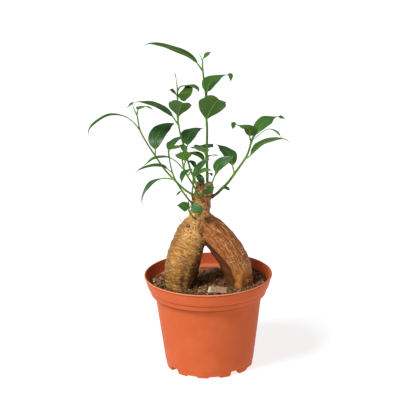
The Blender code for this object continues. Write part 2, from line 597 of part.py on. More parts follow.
def cut_sockets(trunk):
    """Cut the plain holes that the shoots stand in."""
    sockets = []
    for shoot in SHOOTS.values():
        middle, radii = stem_rings(shoot, SOCKET_SPANS)
        reach = int(np.argmax(np.linalg.norm(middle - middle[0], axis=1) > SOCKET_REACH))
        way = middle[0] - middle[1]
        way = way / np.linalg.norm(way)
        path = np.vstack([middle[0] + way * SOCKET_END_GAP, middle[1:reach]])
        sockets.append(orient(add_tube("socket", path, radii[:len(path)] + SOCKET_GAP, STEM_SIDES)))
    combine(trunk, sockets, "DIFFERENCE")
    triangulate(trunk)
    trunk.data.materials.clear()
    trunk.data.materials.append(add_finish("trunk"))
    trunk.data.shade_smooth()
    return trunk


def wall_inside(height):
    """Radius of the pot's inside wall at a height, below its ledge."""
    share = (height - INSIDE_FOOT) / (POT_HEIGHT - LEDGE_DROP - INSIDE_FOOT)
    low = FOOT_RADIUS - WALL + 0.3
    return low + (NECK_RADIUS - WALL - low) * share


def soil_height(x, y):
    """Height of the soil's top: a little higher to the right, uneven, level under the husk."""
    level = SOIL_TOP + SOIL_SLOPE * x - 0.01 * y
    lumps = 0.5 * math.sin(0.42 * x + 1.3) * math.cos(0.37 * y + 0.4) + 0.35 * math.sin(0.71 * x - 0.66 * y)
    mound_x, mound_y, mound_height, mound_spread = MOUND
    mound = mound_height * math.exp(-((x - mound_x) ** 2 + (y - mound_y) ** 2) / mound_spread)
    near = math.hypot((x - HUSK_PLACE[0]) / 10.0, (y - HUSK_PLACE[1]) / 6.5)
    away = min(max(near - 1.0, 0.0) / 0.8, 1.0)
    return level + (lumps + mound) * away


def make_soil(skin):
    """Make the soil: it fills the pot, lies on the ledge all round but at the back, and holds the legs."""
    ledge = POT_HEIGHT - LEDGE_DROP + CLEARANCE
    rings = [[] for _ in range(len(SOIL_RINGS) + 7)]
    for i in range(SOIL_SIDES):
        turn = 2.0 * math.pi * i / SOIL_SIDES
        dx, dy = math.sin(turn), math.cos(turn)
        from_back = math.degrees(min(turn, 2.0 * math.pi - turn))
        rise = min(max((from_back - 30.0) / 15.0, 0.0), 1.0)
        spread = min(max((from_back - 52.0) / 16.0, 0.0), 1.0)
        edge = SOIL_INNER + (SOIL_OUTER - SOIL_INNER) * spread
        side = SOIL_EDGE + SOIL_SLOPE * SOIL_OUTER * dx - max(-dy, 0.0)
        top = SOIL_BACK + (side - SOIL_BACK) * rise
        for ring, radius in zip(rings, SOIL_RINGS):
            blend = max(radius - 27.0, 0.0) / 22.0
            height = soil_height(radius * dx, radius * dy)
            ring.append((radius * dx, radius * dy, height + (top - height) * blend * (1.0 - 0.6 * rise)))
        low = SOIL_BACK - 1.4 + (ledge - SOIL_BACK + 1.4) * rise
        profile = (
            (SOIL_INNER - 0.6, top + 0.2), (edge, top), (edge, low + 0.5 * (1.0 - spread) * rise),
            (SOIL_INNER - 0.2 * (1.0 - spread), low - 0.6 * (1.0 - spread)),
            (wall_inside(SOIL_BACK - 4.0) - SOIL_WALL_GAP, SOIL_BACK - 4.0),
            (wall_inside(INSIDE_FOOT) - SOIL_WALL_GAP, INSIDE_FOOT),
            (wall_inside(INSIDE_FOOT) - 3.0, SOIL_BOTTOM),
        )
        for ring, (radius, height) in zip(rings[len(SOIL_RINGS):], profile):
            ring.append((radius * dx, radius * dy, height))
    points = [(0.0, 0.0, soil_height(0.0, 0.0))]
    for ring in rings:
        points.extend(ring)
    points.append((0.0, 0.0, SOIL_BOTTOM))
    faces = []
    for j in range(SOIL_SIDES):
        k = (j + 1) % SOIL_SIDES
        faces.append((0, 1 + k, 1 + j))
        for i in range(len(rings) - 1):
            a, b = 1 + i * SOIL_SIDES, 1 + (i + 1) * SOIL_SIDES
            faces.append((a + j, a + k, b + j))
            faces.append((a + k, b + k, b + j))
        bottom = 1 + (len(rings) - 1) * SOIL_SIDES
        faces.append((len(points) - 1, bottom + j, bottom + k))
    soil = orient(add_object("soil", points, faces, "soil"))
    hole = skin.copy()
    hole.data = skin.data.copy()
    bpy.context.scene.collection.objects.link(hole)
    for vertex in hole.data.vertices:
        vertex.co += vertex.normal * SOIL_LEG_GAP * MM
    combine(soil, [hole], "DIFFERENCE")
    triangulate(soil)
    return soil


def make_husk():
    """Make the flat piece of bark that lies on the soil."""
    husk = add_object("husk", [(0, 0, 0), (1, 0, 0), (0, 1, 0)], [(0, 1, 2)], "husk")
    work = bmesh.new()
    bmesh.ops.create_cube(work, size=1.0)
    bmesh.ops.scale(work, verts=work.verts, vec=Vector(HUSK_SIZE) * MM)
    work.to_mesh(husk.data)
    work.free()
    edges = husk.modifiers.new("worn edges", "BEVEL")
    edges.width = HUSK_WORN_EDGE * MM
    edges.segments = 1
    husk.location = Vector(HUSK_PLACE) * MM
    husk.rotation_euler.z = math.radians(HUSK_TURN)
    return husk


def pot_profile():
    """Radius and height along the pot's section, from the floor's middle out and up, then back inside."""
    top = POT_HEIGHT
    ledge = top - LEDGE_DROP
    skirt = top - SKIRT_DROP
    inner = NECK_RADIUS - WALL
    return (
        (FOOT_RADIUS - FOOT_WIDTH - 1.0, FLOOR_BOTTOM), (FOOT_RADIUS - FOOT_WIDTH, 0.0), (FOOT_RADIUS - 1.2, 0.0),
        (FOOT_RADIUS - 0.3, 0.6), (FOOT_RADIUS + 0.2, 5.4), (FOOT_RADIUS + 0.55, 5.8),
        (NECK_RADIUS, skirt + 1.0), (NECK_RADIUS + 0.2, ledge - WALL), (SKIRT_RADIUS - 1.1, ledge - WALL - 0.6),
        (SKIRT_RADIUS - WALL, skirt), (SKIRT_RADIUS - 0.3, skirt), (SKIRT_RADIUS, skirt + 0.5),
        (CREASE_RADIUS, top - CREASE_DROP), (CREASE_RADIUS + 0.4, top - CREASE_DROP + 0.9),
        (RIM_RADIUS - 0.25, top - 1.2), (RIM_RADIUS, top - 0.6), (RIM_RADIUS - 0.35, top - 0.1),
        (RIM_RADIUS - 0.9, top), (RIM_RADIUS - 1.5, top - 0.35), (RIM_RADIUS - 1.9, top - 1.4),
        (CREASE_RADIUS - 0.6, ledge + 0.6), (CREASE_RADIUS - 1.2, ledge), (inner + 0.5, ledge),
        (inner, ledge - 0.6), (wall_inside(INSIDE_FOOT), INSIDE_FOOT), (wall_inside(INSIDE_FOOT) - 1.5, FLOOR_TOP),
    )


def make_gap_cutter(height):
    """Make the tapered block that cuts one gap between two feet at the front."""
    near, far = -FOOT_RADIUS + 3.0 - FOOT_GAP_LENGTH / 2.0, -FOOT_RADIUS + 3.0 + FOOT_GAP_LENGTH / 2.0
    points = []
    for z, width in ((-1.0, FOOT_GAP), (0.0, FOOT_GAP), (height, FOOT_GAP_TOP)):
        points += [(-width / 2.0, near, z), (width / 2.0, near, z), (width / 2.0, far, z), (-width / 2.0, far, z)]
    faces = [(0, 3, 2, 1), (8, 9, 10, 11)]
    for a in (0, 4):
        faces += [(a + i, a + (i + 1) % 4, a + 4 + (i + 1) % 4, a + 4 + i) for i in range(4)]
    return orient(add_object("gap", points, faces))


def make_pot():
    """Make the pot: a thin turned wall with a folded band, a ring of feet and drain openings."""
    profile = pot_profile()
    points = []
    for i in range(POT_SIDES):
        turn = 2.0 * math.pi * i / POT_SIDES
        points.extend((radius * math.sin(turn), -radius * math.cos(turn), height) for radius, height in profile)
    count = len(profile)
    faces = []
    for i in range(POT_SIDES):
        a, b = i * count, (i + 1) % POT_SIDES * count
        faces.extend((a + j, b + j, b + j + 1, a + j + 1) for j in range(count - 1))
    faces.append(tuple(i * count for i in range(POT_SIDES - 1, -1, -1)))
    faces.append(tuple(i * count + count - 1 for i in range(POT_SIDES)))
    pot = orient(add_object("pot", points, faces, "pot"))
    cutters = []
    for i in range(FOOT_COUNT):
        height = DRAIN_GAP_HEIGHT if i % DRAIN_EVERY == DRAIN_FIRST else FOOT_GAP_HEIGHT
        cutter = make_gap_cutter(height)
        cutter.rotation_euler.z = math.radians(FOOT_TURN + 360.0 * i / FOOT_COUNT)
        cutters.append(cutter)
    places = [np.zeros(3)]
    for i in range(DRAIN_HOLES):
        turn = 2.0 * math.pi * (i + 0.5) / DRAIN_HOLES
        places.append(DRAIN_HOLE_RING * np.array((math.sin(turn), math.cos(turn), 0.0)))
    for place in places:
        ends = (place + (0.0, 0.0, FLOOR_BOTTOM - 2.0), place + (0.0, 0.0, FLOOR_TOP + 2.0))
        cutters.append(orient(add_tube("drain", ends, (DRAIN_HOLE_RADIUS,) * 2, DRAIN_HOLE_SIDES)))
    combine(pot, cutters, "DIFFERENCE")
    triangulate(pot)
    pot.data.shade_smooth()
    pot.data.set_sharp_from_angle(angle=math.radians(POT_SHARP_EDGE))
    return pot


def main():
    """Build every piece and set the whole over its own middle."""
    clear_scene()
    skin = make_skin()
    pieces = [make_pot(), make_soil(skin), make_husk(), cut_sockets(skin)]
    pieces += [make_shoot(name, shoot) for name, shoot in SHOOTS.items()]
    bpy.context.view_layer.update()
    corners = np.array([piece.matrix_world @ v.co for piece in pieces for v in piece.data.vertices])
    low, high = corners.min(axis=0), corners.max(axis=0)
    middle = (low + high) / 2.0
    frame = bpy.data.objects.new("potted_ficus", None)
    bpy.context.scene.collection.objects.link(frame)
    for piece in pieces:
        piece.parent = frame
    frame.location = (-round(float(middle[0]), 4), -round(float(middle[1]), 4), 0.0)


main()
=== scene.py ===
"""Looks of a potted ginseng ficus: its pot, soil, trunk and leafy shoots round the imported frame.

Places are in millimetres from the pot's axis (x to the right, y to the back) and from the
surface that the pot stands on (z up). Each mesh is moved to the row frame as it is made.
"""
import logging
import math
from collections.abc import Sequence
from dataclasses import dataclass
from enum import Enum
from itertools import product

import bmesh
import bpy
import numpy as np
from mathutils import Matrix, Vector
from mathutils.bvhtree import BVHTree


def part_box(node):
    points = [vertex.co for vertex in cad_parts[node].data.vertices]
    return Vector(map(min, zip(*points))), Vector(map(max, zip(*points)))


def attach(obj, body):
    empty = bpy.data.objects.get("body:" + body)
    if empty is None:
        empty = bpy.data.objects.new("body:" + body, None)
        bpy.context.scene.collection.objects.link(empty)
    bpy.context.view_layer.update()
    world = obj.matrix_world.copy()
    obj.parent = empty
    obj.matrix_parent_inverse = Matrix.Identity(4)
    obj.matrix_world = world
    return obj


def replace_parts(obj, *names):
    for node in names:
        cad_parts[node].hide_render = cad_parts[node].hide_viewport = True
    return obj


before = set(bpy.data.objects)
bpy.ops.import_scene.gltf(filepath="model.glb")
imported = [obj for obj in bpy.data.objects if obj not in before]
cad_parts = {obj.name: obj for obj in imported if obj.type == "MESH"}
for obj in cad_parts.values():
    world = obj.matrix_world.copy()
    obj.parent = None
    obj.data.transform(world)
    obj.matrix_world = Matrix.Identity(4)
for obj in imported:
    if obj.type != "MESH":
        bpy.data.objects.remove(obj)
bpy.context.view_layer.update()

LOG = logging.getLogger("potted_ficus")
MM = 0.001
POT_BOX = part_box("pot")
AXIS = np.array([(POT_BOX[0].x + POT_BOX[1].x) / 2.0, (POT_BOX[0].y + POT_BOX[1].y) / 2.0, 0.0]) / MM

Pair = tuple[float, float]
Place = tuple[float, float, float]
Colour = tuple[float, float, float]
Array = np.ndarray
Shape = tuple[Array, list[Array]]
Luck = np.random.Generator
Material = bpy.types.Material
Piece = bpy.types.Object
Socket = bpy.types.NodeSocket

# Side veins of a leaf blade, and how far they slant towards its tip
VEINS = 9.0
VEIN_SLANT = 1.6


# Shader building


class Level:
    """A number that varies over a surface: a socket whose operators add Math nodes."""

    def __init__(self, paint: "Paint", socket: Socket) -> None:
        """Wrap a socket of a paint's nodes."""
        self.paint = paint
        self.socket = socket

    def _math(self, operation: str, *terms: "Level | float") -> "Level":
        """Add a Math node for an operation on terms."""
        node = self.paint.node("ShaderNodeMath", {"operation": operation}, dict(enumerate(terms)))
        return Level(self.paint, node.outputs[0])

    def __add__(self, other: "Level | float") -> "Level":
        """Add a level or a number."""
        return self._math("ADD", self, other)

    def __sub__(self, other: "Level | float") -> "Level":
        """Take away a level or a number."""
        return self._math("SUBTRACT", self, other)

    def __rsub__(self, other: float) -> "Level":
        """Take this level away from a number."""
        return self._math("SUBTRACT", other, self)

    def __mul__(self, other: "Level | float") -> "Level":
        """Multiply by a level or a number."""
        return self._math("MULTIPLY", self, other)

    def __abs__(self) -> "Level":
        """Drop the sign."""
        return self._math("ABSOLUTE", self)

    __radd__ = __add__
    __rmul__ = __mul__

    def fraction(self) -> "Level":
        """Keep what is left over from whole numbers."""
        return self._math("FRACT", self)

    def rise(self, low: float, high: float) -> "Level":
        """Ease from 0 at low to 1 at high.

        Args:
            low: Value that gives 0.
            high: Value that gives 1; it may be the smaller one.

        Returns:
            The eased level.
        """
        start, end = min(low, high), max(low, high)
        sides = (0.0, 1.0) if low < high else (1.0, 0.0)
        inputs = {"Value": self, "From Min": start, "From Max": end, "To Min": sides[0], "To Max": sides[1]}
        node = self.paint.node("ShaderNodeMapRange", {"interpolation_type": "SMOOTHSTEP"}, inputs)
        return Level(self.paint, node.outputs["Result"])


class Paint:
    """The nodes of one material."""

    def __init__(self, name: str) -> None:
        """Make an empty material called name."""
        self.material = bpy.data.materials.new(name)
        self.material.use_nodes = True
        self.tree = self.material.node_tree
        self.shader = self.tree.nodes["Principled BSDF"]

    def node(self, kind: str, settings: dict | None = None, inputs: dict | None = None) -> bpy.types.Node:
        """Add a node.

        Args:
            kind: Blender's name of the node's type.
            settings: The node's own settings, set before its sockets.
            inputs: Values, levels or sockets for its input sockets, by name or number.

        Returns:
            The node.
        """
        node = self.tree.nodes.new(kind)
        for name, value in (settings or {}).items():
            setattr(node, name, value)
        for key, value in (inputs or {}).items():
            self.feed(node.inputs[key], value)
        return node

    def feed(self, socket: Socket, value: object) -> None:
        """Link or set one input socket."""
        if isinstance(value, Level):
            self.tree.links.new(value.socket, socket)
        elif isinstance(value, Socket):
            self.tree.links.new(value, socket)
        elif isinstance(value, tuple) and socket.type == "RGBA":
            socket.default_value = (*value, 1.0)
        else:
            socket.default_value = value

    def mark(self, name: str) -> Level:
        """Read one of the mesh's own surface values."""
        node = self.node("ShaderNodeAttribute", {"attribute_name": name})
        return Level(self, node.outputs["Fac"])

    def stretched(self, source: Socket, stretch: Place) -> Socket:
        """Multiply each axis of a place."""
        node = self.node("ShaderNodeVectorMath", {"operation": "MULTIPLY"}, {0: source, 1: stretch})
        return node.outputs[0]

    def growth(self, name: str, around: float, lengthwise: float) -> Socket:
        """Give the place by a limb's own growth, stretched round the limb and along it."""
        source = self.node("ShaderNodeAttribute", {"attribute_name": name}).outputs["Vector"]
        return self.stretched(source, (around, around, lengthwise))

    def place(self, stretch: Place = (1.0, 1.0, 1.0)) -> Socket:
        """Give the place in millimetres, each axis multiplied by stretch."""
        source = self.node("ShaderNodeTexCoord").outputs["Object"]
        return self.stretched(source, tuple(value / MM for value in stretch))

    def noise(self, where: Socket, scale: float, detail: float = 3.0,
              rough: float = 0.55) -> Level:
        """Add a noise texture at a place.

        Args:
            where: The place in millimetres.
            scale: Bumps for each millimetre.
            detail: Finer layers.
            rough: How strong the finer layers are.

        Returns:
            The noise, from 0 to 1.
        """
        inputs = {"Vector": where, "Scale": scale, "Detail": detail, "Roughness": rough}
        return Level(self, self.node("ShaderNodeTexNoise", None, inputs).outputs[0])

    def mix(self, share: Level | float, first: object, second: object) -> Socket:
        """Mix two colours.

        Args:
            share: How much of the second colour, from 0 to 1.
            first: Colour or socket at 0.
            second: Colour or socket at 1.

        Returns:
            The mixed colour's socket.
        """
        node = self.node("ShaderNodeMix", {"data_type": "RGBA"}, {0: share, 6: first, 7: second})
        return node.outputs[2]

    def dress(self, bumps: Level | None = None, depth: float = 0.1, **surface: object) -> Material:
        """Feed the surface shader.

        Args:
            bumps: Height of the fine relief, from 0 to 1.
            depth: Depth of that relief in millimetres.
            **surface: Values for the shader's sockets; an underscore stands for a space.

        Returns:
            The finished material.
        """
        for key, value in surface.items():
            self.feed(self.shader.inputs[key.replace("_", " ")], value)
        if bumps is not None:
            inputs = {"Height": bumps, "Distance": depth * MM, "Strength": 1.0}
            self.feed(self.shader.inputs["Normal"], self.node("ShaderNodeBump", None, inputs).outputs[0])
        return self.material


# Finishes


@dataclass(frozen=True)
class PotPlastic:
    """Satin moulded plastic in terracotta orange, dusty at the soil, with painted shade in its folds and a
    painted highlight along its rim.
    """

    colour: Colour = (0.61, 0.12, 0.039)
    faded: Colour = (0.68, 0.155, 0.056)
    dust: Colour = (0.07, 0.035, 0.018)
    painted_highlight: Colour = (0.95, 0.46, 0.26)
    shade: Colour = (0.22, 0.028, 0.01)
    roughness: float = 0.38
    relief: float = 0.02
    gloss: float = 0.03

    def material(self) -> Material:
        """Make the material."""
        paint = Paint("pot plastic")
        where = paint.place()
        cloud = paint.noise(where, 0.05, 2.0).rise(0.35, 0.7)
        grain = paint.noise(where, 1.6, 2.0)
        colour = paint.mix(cloud * 0.45, self.colour, self.faded)
        # Painted highlight along the rim's top edge and round the inside ledge.
        colour = paint.mix(paint.mark("edge") * 0.75, colour, self.painted_highlight)
        # Painted shade under the lip, in the crease, just under the skirt and on faces turned down.
        colour = paint.mix(paint.mark("fold"), colour, self.shade)
        dirt = paint.mark("dusty") * paint.noise(where, 0.45, 4.0, 0.7).rise(0.42, 0.62)
        colour = paint.mix(dirt * 0.8, colour, self.dust)
        rough = self.roughness + grain * 0.08 + dirt * 0.3
        return paint.dress(grain, self.relief, Base_Color=colour, Roughness=rough,
                           Specular_IOR_Level=self.gloss)


@dataclass(frozen=True)
class PottingSoil:
    """Damp dark potting soil with lighter crumbs, and painted light between and behind the trunk's legs."""

    deep: Colour = (0.022, 0.011, 0.005)
    brown: Colour = (0.21, 0.084, 0.035)
    light: Colour = (0.48, 0.255, 0.12)
    roughness: float = 0.93
    relief: float = 0.5
    gloss: float = 0.2

    def material(self) -> Material:
        """Make the material."""
        paint = Paint("potting soil")
        where = paint.place()
        coarse = paint.noise(where, 0.36, 4.0, 0.6)
        fine = paint.noise(where, 1.1, 4.0, 0.7)
        colour = paint.mix(coarse.rise(0.42, 0.6), self.deep, self.brown)
        colour = paint.mix(fine.rise(0.55, 0.66) * 0.75, colour, self.light)
        # Painted light: paler soil between and behind the legs.
        colour = paint.mix(paint.mark("pale") * 0.55, colour, self.light)
        return paint.dress(fine, self.relief, Base_Color=colour, Roughness=self.roughness,
                           Specular_IOR_Level=self.gloss)


@dataclass(frozen=True)
class Speck:
    """A plain dry finish with two tones, for small pieces on the soil."""

    name: str
    dark: Colour
    light: Colour
    size: float = 1.0
    roughness: float = 0.85
    relief: float = 0.15

    def material(self) -> Material:
        """Make the material."""
        paint = Paint(self.name)
        patches = paint.noise(paint.place(), 1.0 / self.size, 4.0, 0.65)
        colour = paint.mix(patches.rise(0.35, 0.65), self.dark, self.light)
        return paint.dress(patches, self.relief, Base_Color=colour, Roughness=self.roughness)


@dataclass(frozen=True)
class HuskChip:
    """Dry cork-like bark with dark pits, whitened at one end."""

    dark: Colour = (0.24, 0.13, 0.06)
    tan: Colour = (0.54, 0.34, 0.18)
    pale: Colour = (0.80, 0.70, 0.54)
    roughness: float = 0.88
    relief: float = 0.25

    def material(self) -> Material:
        """Make the material."""
        paint = Paint("husk")
        grain = paint.noise(paint.place((0.5, 1.6, 1.6)), 1.0, 4.0, 0.65)
        pits = paint.noise(paint.place(), 1.3, 3.0, 0.6)
        colour = paint.mix(grain.rise(0.36, 0.6), self.dark, self.tan)
        colour = paint.mix(pits.rise(0.55, 0.68) * 0.6, colour, self.pale)
        colour = paint.mix(paint.mark("pale") * 0.8, colour, self.pale)
        return paint.dress(grain, self.relief, Base_Color=colour, Roughness=self.roughness)


@dataclass(frozen=True)
class Bark:
    """The trunk's thin bark: golden olive on the left leg, reddish on the right, mottled at the neck, with
    painted shade on its undersides and in its creases.
    """

    golden: Colour = (0.74, 0.35, 0.08)
    olive: Colour = (0.31, 0.145, 0.027)
    rust: Colour = (0.40, 0.15, 0.035)
    red: Colour = (0.25, 0.07, 0.022)
    tan: Colour = (0.56, 0.19, 0.055)
    straw: Colour = (0.66, 0.38, 0.13)
    cork: Colour = (0.14, 0.05, 0.016)
    flake: Colour = (0.84, 0.62, 0.32)
    shade: Colour = (0.115, 0.04, 0.015)
    umber: Colour = (0.24, 0.10, 0.018)
    hollow: Colour = (0.028, 0.013, 0.007)
    cut: Colour = (0.88, 0.74, 0.50)
    roughness: float = 0.34
    relief: float = 0.45
    gloss: float = 0.14

    def left_leg(self, paint: Paint, low: Level) -> tuple[Socket, Level]:
        """Give the left leg's colour and relief: golden and olive rings with dark and pale flecks."""
        rings = paint.noise(paint.growth("left growth", 0.13, 0.75), 1.0, 5.0, 0.68)
        flecks = paint.noise(paint.growth("left growth", 0.34, 1.25), 1.0, 3.0, 0.6)
        lobes = paint.noise(paint.growth("left growth", 0.22, 0.05), 1.0, 4.0, 0.62)
        clouds = paint.noise(paint.place(), 0.12, 3.0)
        colour = paint.mix(rings.rise(0.4, 0.6), self.olive, self.golden)
        colour = paint.mix(clouds.rise(0.48, 0.66) * 0.5, colour, self.rust)
        colour = paint.mix(low * lobes.rise(0.56, 0.42) * 0.4, colour, self.umber)
        colour = paint.mix(flecks.rise(0.38, 0.3) * 0.6, colour, self.cork)
        colour = paint.mix(flecks.rise(0.6, 0.66) * 0.85, colour, self.flake)
        return colour, rings + flecks * 0.6

    def right_leg(self, paint: Paint, low: Level) -> tuple[Socket, Level]:
        """Give the right leg's colour and relief: red fibres with short straw strokes on the ridge."""
        fibres = paint.noise(paint.growth("right growth", 0.75, 0.12), 1.0, 5.0, 0.66)
        hatch = paint.noise(paint.growth("right growth", 0.32, 1.5), 1.0, 4.0, 0.66)
        colour = paint.mix(fibres.rise(0.4, 0.6), self.red, self.tan)
        colour = paint.mix(hatch.rise(0.5, 0.38) * 0.6, colour, self.red)
        strokes = paint.mark("ridge") * fibres.rise(0.5, 0.58) * hatch.rise(0.36, 0.5)
        colour = paint.mix(strokes * 0.8, colour, self.straw)
        colour = paint.mix(low * 0.38, colour, self.golden)
        return colour, fibres + hatch * 0.5

    def material(self) -> Material:
        """Make the material."""
        paint = Paint("bark")
        where = paint.place()
        low, rightward, necked = paint.mark("low"), paint.mark("right"), paint.mark("neck")
        left, left_bumps = self.left_leg(paint, low)
        right, right_bumps = self.right_leg(paint, low)
        grit = paint.noise(where, 0.55, 5.0, 0.72)
        specks = paint.noise(where, 0.75, 4.0, 0.66)
        pale = paint.mark("crown") * specks.rise(0.49, 0.54) + specks.rise(0.56, 0.61)
        top = paint.mix(grit.rise(0.42, 0.58), self.cork, self.tan)
        top = paint.mix(pale * 0.75, top, self.flake)
        yellow = paint.mix(grit.rise(0.41, 0.53), self.red, self.golden)
        yellow = paint.mix(specks.rise(0.53, 0.59), yellow, self.flake)
        colour = paint.mix(rightward, left, right)
        colour = paint.mix(necked, colour, top)
        colour = paint.mix(paint.mark("shoulder"), colour, yellow)
        # Painted shade on the legs' undersides, the left leg's turned sides, the seam, the knot's pit and
        # the stub's hollow; the cut tops and the scar are the bark's own colours.
        for mark, share, tone in (("under", 0.9, self.shade), ("flank_shade", 0.75, self.umber),
                                  ("cut", 1.0, self.cut), ("dark", 1.0, self.hollow)):
            colour = paint.mix(paint.mark(mark) * share, colour, tone)
        bumps = left_bumps * (1.0 - rightward) + right_bumps * rightward + grit * 0.6
        rough = self.roughness + grit * 0.22 + necked * 0.22
        return paint.dress(bumps, self.relief, Base_Color=colour, Roughness=rough,
                           Specular_IOR_Level=self.gloss)


@dataclass(frozen=True)
class Lenticel:
    """Corky raised marks on the bark, from dark scars through straw to cream."""

    scar: Colour = (0.075, 0.028, 0.013)
    straw: Colour = (0.62, 0.36, 0.11)
    cream: Colour = (0.74, 0.58, 0.33)
    roughness: float = 0.7
    relief: float = 0.1

    def material(self) -> Material:
        """Make the material."""
        paint = Paint("lenticels")
        tone = paint.mark("tone")
        colour = paint.mix(tone.rise(0.0, 0.5), self.scar, self.straw)
        colour = paint.mix(tone.rise(0.5, 1.0), colour, self.cream)
        grit = paint.noise(paint.place(), 1.8, 3.0)
        colour = paint.mix(grit.rise(0.45, 0.7) * 0.35, colour, self.straw)
        return paint.dress(grit, self.relief, Base_Color=colour, Roughness=self.roughness)


@dataclass(frozen=True)
class Blade:
    """A waxy leaf blade: deep green above, yellower and duller below, with a pale midrib."""

    young_top: Colour = (0.10, 0.28, 0.045)
    old_top: Colour = (0.024, 0.084, 0.022)
    young_under: Colour = (0.12, 0.265, 0.03)
    old_under: Colour = (0.03, 0.084, 0.0095)
    rib: Colour = (0.13, 0.24, 0.05)
    roughness: float = 0.5
    relief: float = 0.03
    gloss: float = 0.22

    def material(self) -> Material:
        """Make the material."""
        paint = Paint("leaf blade")
        along, across = paint.mark("along"), abs(paint.mark("across"))
        upper, age = paint.mark("upper"), paint.mark("age")
        veins = abs((along * VEINS - across * VEIN_SLANT).fraction() - 0.5).rise(0.11, 0.0)
        veins = veins * across.rise(0.98, 0.7)
        patches = paint.noise(paint.place(), 0.22, 3.0)
        top = paint.mix(age, self.young_top, self.old_top)
        top = paint.mix(patches.rise(0.4, 0.7) * 0.14, top, self.young_top)
        under = paint.mix(age, self.young_under, self.old_under)
        colour = paint.mix(upper, under, top)
        colour = paint.mix(veins * 0.1, colour, self.rib)
        rib = across.rise(0.075, 0.02) * along.rise(1.0, 0.75)
        colour = paint.mix(rib * (0.7 - upper * 0.58), colour, self.rib)
        colour = paint.mix(across.rise(0.93, 1.0) * 0.35, colour, self.young_under)
        rough = self.roughness - upper * 0.17 + patches * 0.06
        bumps = (1.0 - veins) * upper + veins * (1.0 - upper)
        return paint.dress(bumps, self.relief, Base_Color=colour, Roughness=rough,
                           Specular_IOR_Level=self.gloss)


@dataclass(frozen=True)
class GreenStem:
    """Stems and petioles: olive green, brown towards the base, bright at the nodes."""

    green: Colour = (0.105, 0.21, 0.022)
    fresh: Colour = (0.20, 0.42, 0.045)
    brown: Colour = (0.085, 0.045, 0.018)
    roughness: float = 0.5
    relief: float = 0.06
    gloss: float = 0.15

    def material(self) -> Material:
        """Make the material."""
        paint = Paint("green stem")
        streaks = paint.noise(paint.place((1.0, 1.0, 0.25)), 1.4, 3.0)
        colour = paint.mix(paint.mark("bright"), self.green, self.fresh)
        wood = (paint.mark("wood") + (streaks - 0.5) * 0.5).rise(0.15, 0.85)
        colour = paint.mix(wood, colour, self.brown)
        return paint.dress(streaks, self.relief, Base_Color=colour, Roughness=self.roughness,
                           Specular_IOR_Level=self.gloss)


# Shaping


def ease(low: float, high: float, values: Array) -> Array:
    """Ease values from 0 at low to 1 at high."""
    share = np.clip((values - low) / (high - low), 0.0, 1.0)
    return share * share * (3.0 - 2.0 * share)


def bell(values: Array, width: float, power: int = 2) -> Array:
    """Give 1 where values are 0, falling off over a width."""
    return np.exp(-((values / width) ** power))


def unit(vectors: Array) -> Array:
    """Make vectors one long."""
    return vectors / np.maximum(np.linalg.norm(vectors, axis=-1, keepdims=True), 1e-9)


def soft_noise(points: Array, seed: int) -> Array:
    """Give smooth random values between -1 and 1, with bumps one unit wide.

    Args:
        points: Places, one a row.
        seed: Number that picks one pattern.

    Returns:
        One value for each place.
    """
    cell = np.floor(points).astype(np.int64)
    part = points - cell
    part = part * part * (3.0 - 2.0 * part)
    total = np.zeros(len(points))
    for corner in product((0, 1), repeat=3):
        keys = cell + np.array(corner)
        mixed = keys[:, 0] * 73856093 ^ keys[:, 1] * 19349663 ^ keys[:, 2] * 83492791 ^ seed * 2654435
        mixed = (mixed ^ (mixed >> 13)) * 1274126177
        value = ((mixed ^ (mixed >> 16)) & 0xFFFF) / 32767.5 - 1.0
        weight = np.prod(np.where(np.array(corner) == 1, part, 1.0 - part), axis=1)
        total += value * weight
    return total


def rough_noise(points: Array, size: Place | float, layers: int, seed: int) -> Array:
    """Add up finer and finer layers of soft noise.

    Args:
        points: Places in millimetres, one a row.
        size: Width of the largest bumps, or its three sizes.
        layers: How many layers.
        seed: Number that picks one pattern.

    Returns:
        One value for each place, mostly between -1 and 1.
    """
    scaled = np.asarray(points, float) / np.asarray(size, float)
    return sum(soft_noise(scaled * 2.0**k, seed + k) * 0.5**k for k in range(layers)) / 1.5


class Run:
    """A rounded curve through given places, read by the length along it."""

    def __init__(self, places: Sequence[Place]) -> None:
        """Trace the curve."""
        ends = np.asarray(places, float)
        ends = np.vstack([2 * ends[0] - ends[1], ends, 2 * ends[-1] - ends[-2]])
        t = np.linspace(0.0, 1.0, 25)[:-1, None]
        line = []
        for a, b, c, d in zip(ends[:-3], ends[1:-2], ends[2:-1], ends[3:]):
            before, here, after = (math.sqrt(np.linalg.norm(q - r)) for q, r in ((b, a), (c, b), (d, c)))
            leave = here * ((b - a) / before - (c - a) / (before + here) + (c - b) / here)
            arrive = here * ((c - b) / here - (d - b) / (here + after) + (d - c) / after)
            line.append((2 * t**3 - 3 * t**2 + 1) * b + (t**3 - 2 * t**2 + t) * leave
                        + (3 * t**2 - 2 * t**3) * c + (t**3 - t**2) * arrive)
        self.line = np.vstack(line + [ends[-2][None]])
        self.lengths = np.concatenate([[0.0], np.cumsum(np.linalg.norm(np.diff(self.line, axis=0), axis=1))])

    def knot(self, place: Place) -> float:
        """Give the length at which the curve comes closest to a place."""
        return float(self.lengths[np.argmin(np.linalg.norm(self.line - np.asarray(place, float), axis=1))])

    def at(self, stations: Array) -> tuple[Array, Array]:
        """Read places and directions.

        Args:
            stations: Lengths along the curve.

        Returns:
            The places and the directions there.
        """
        end = self.lengths[-1]
        step = end * 0.004
        reads = (stations, np.minimum(stations + step, end), np.maximum(stations - step, 0.0))
        here, on, back = (np.stack([np.interp(s, self.lengths, self.line[:, k]) for k in range(3)], -1)
                          for s in reads)
        return here, unit(on - back)


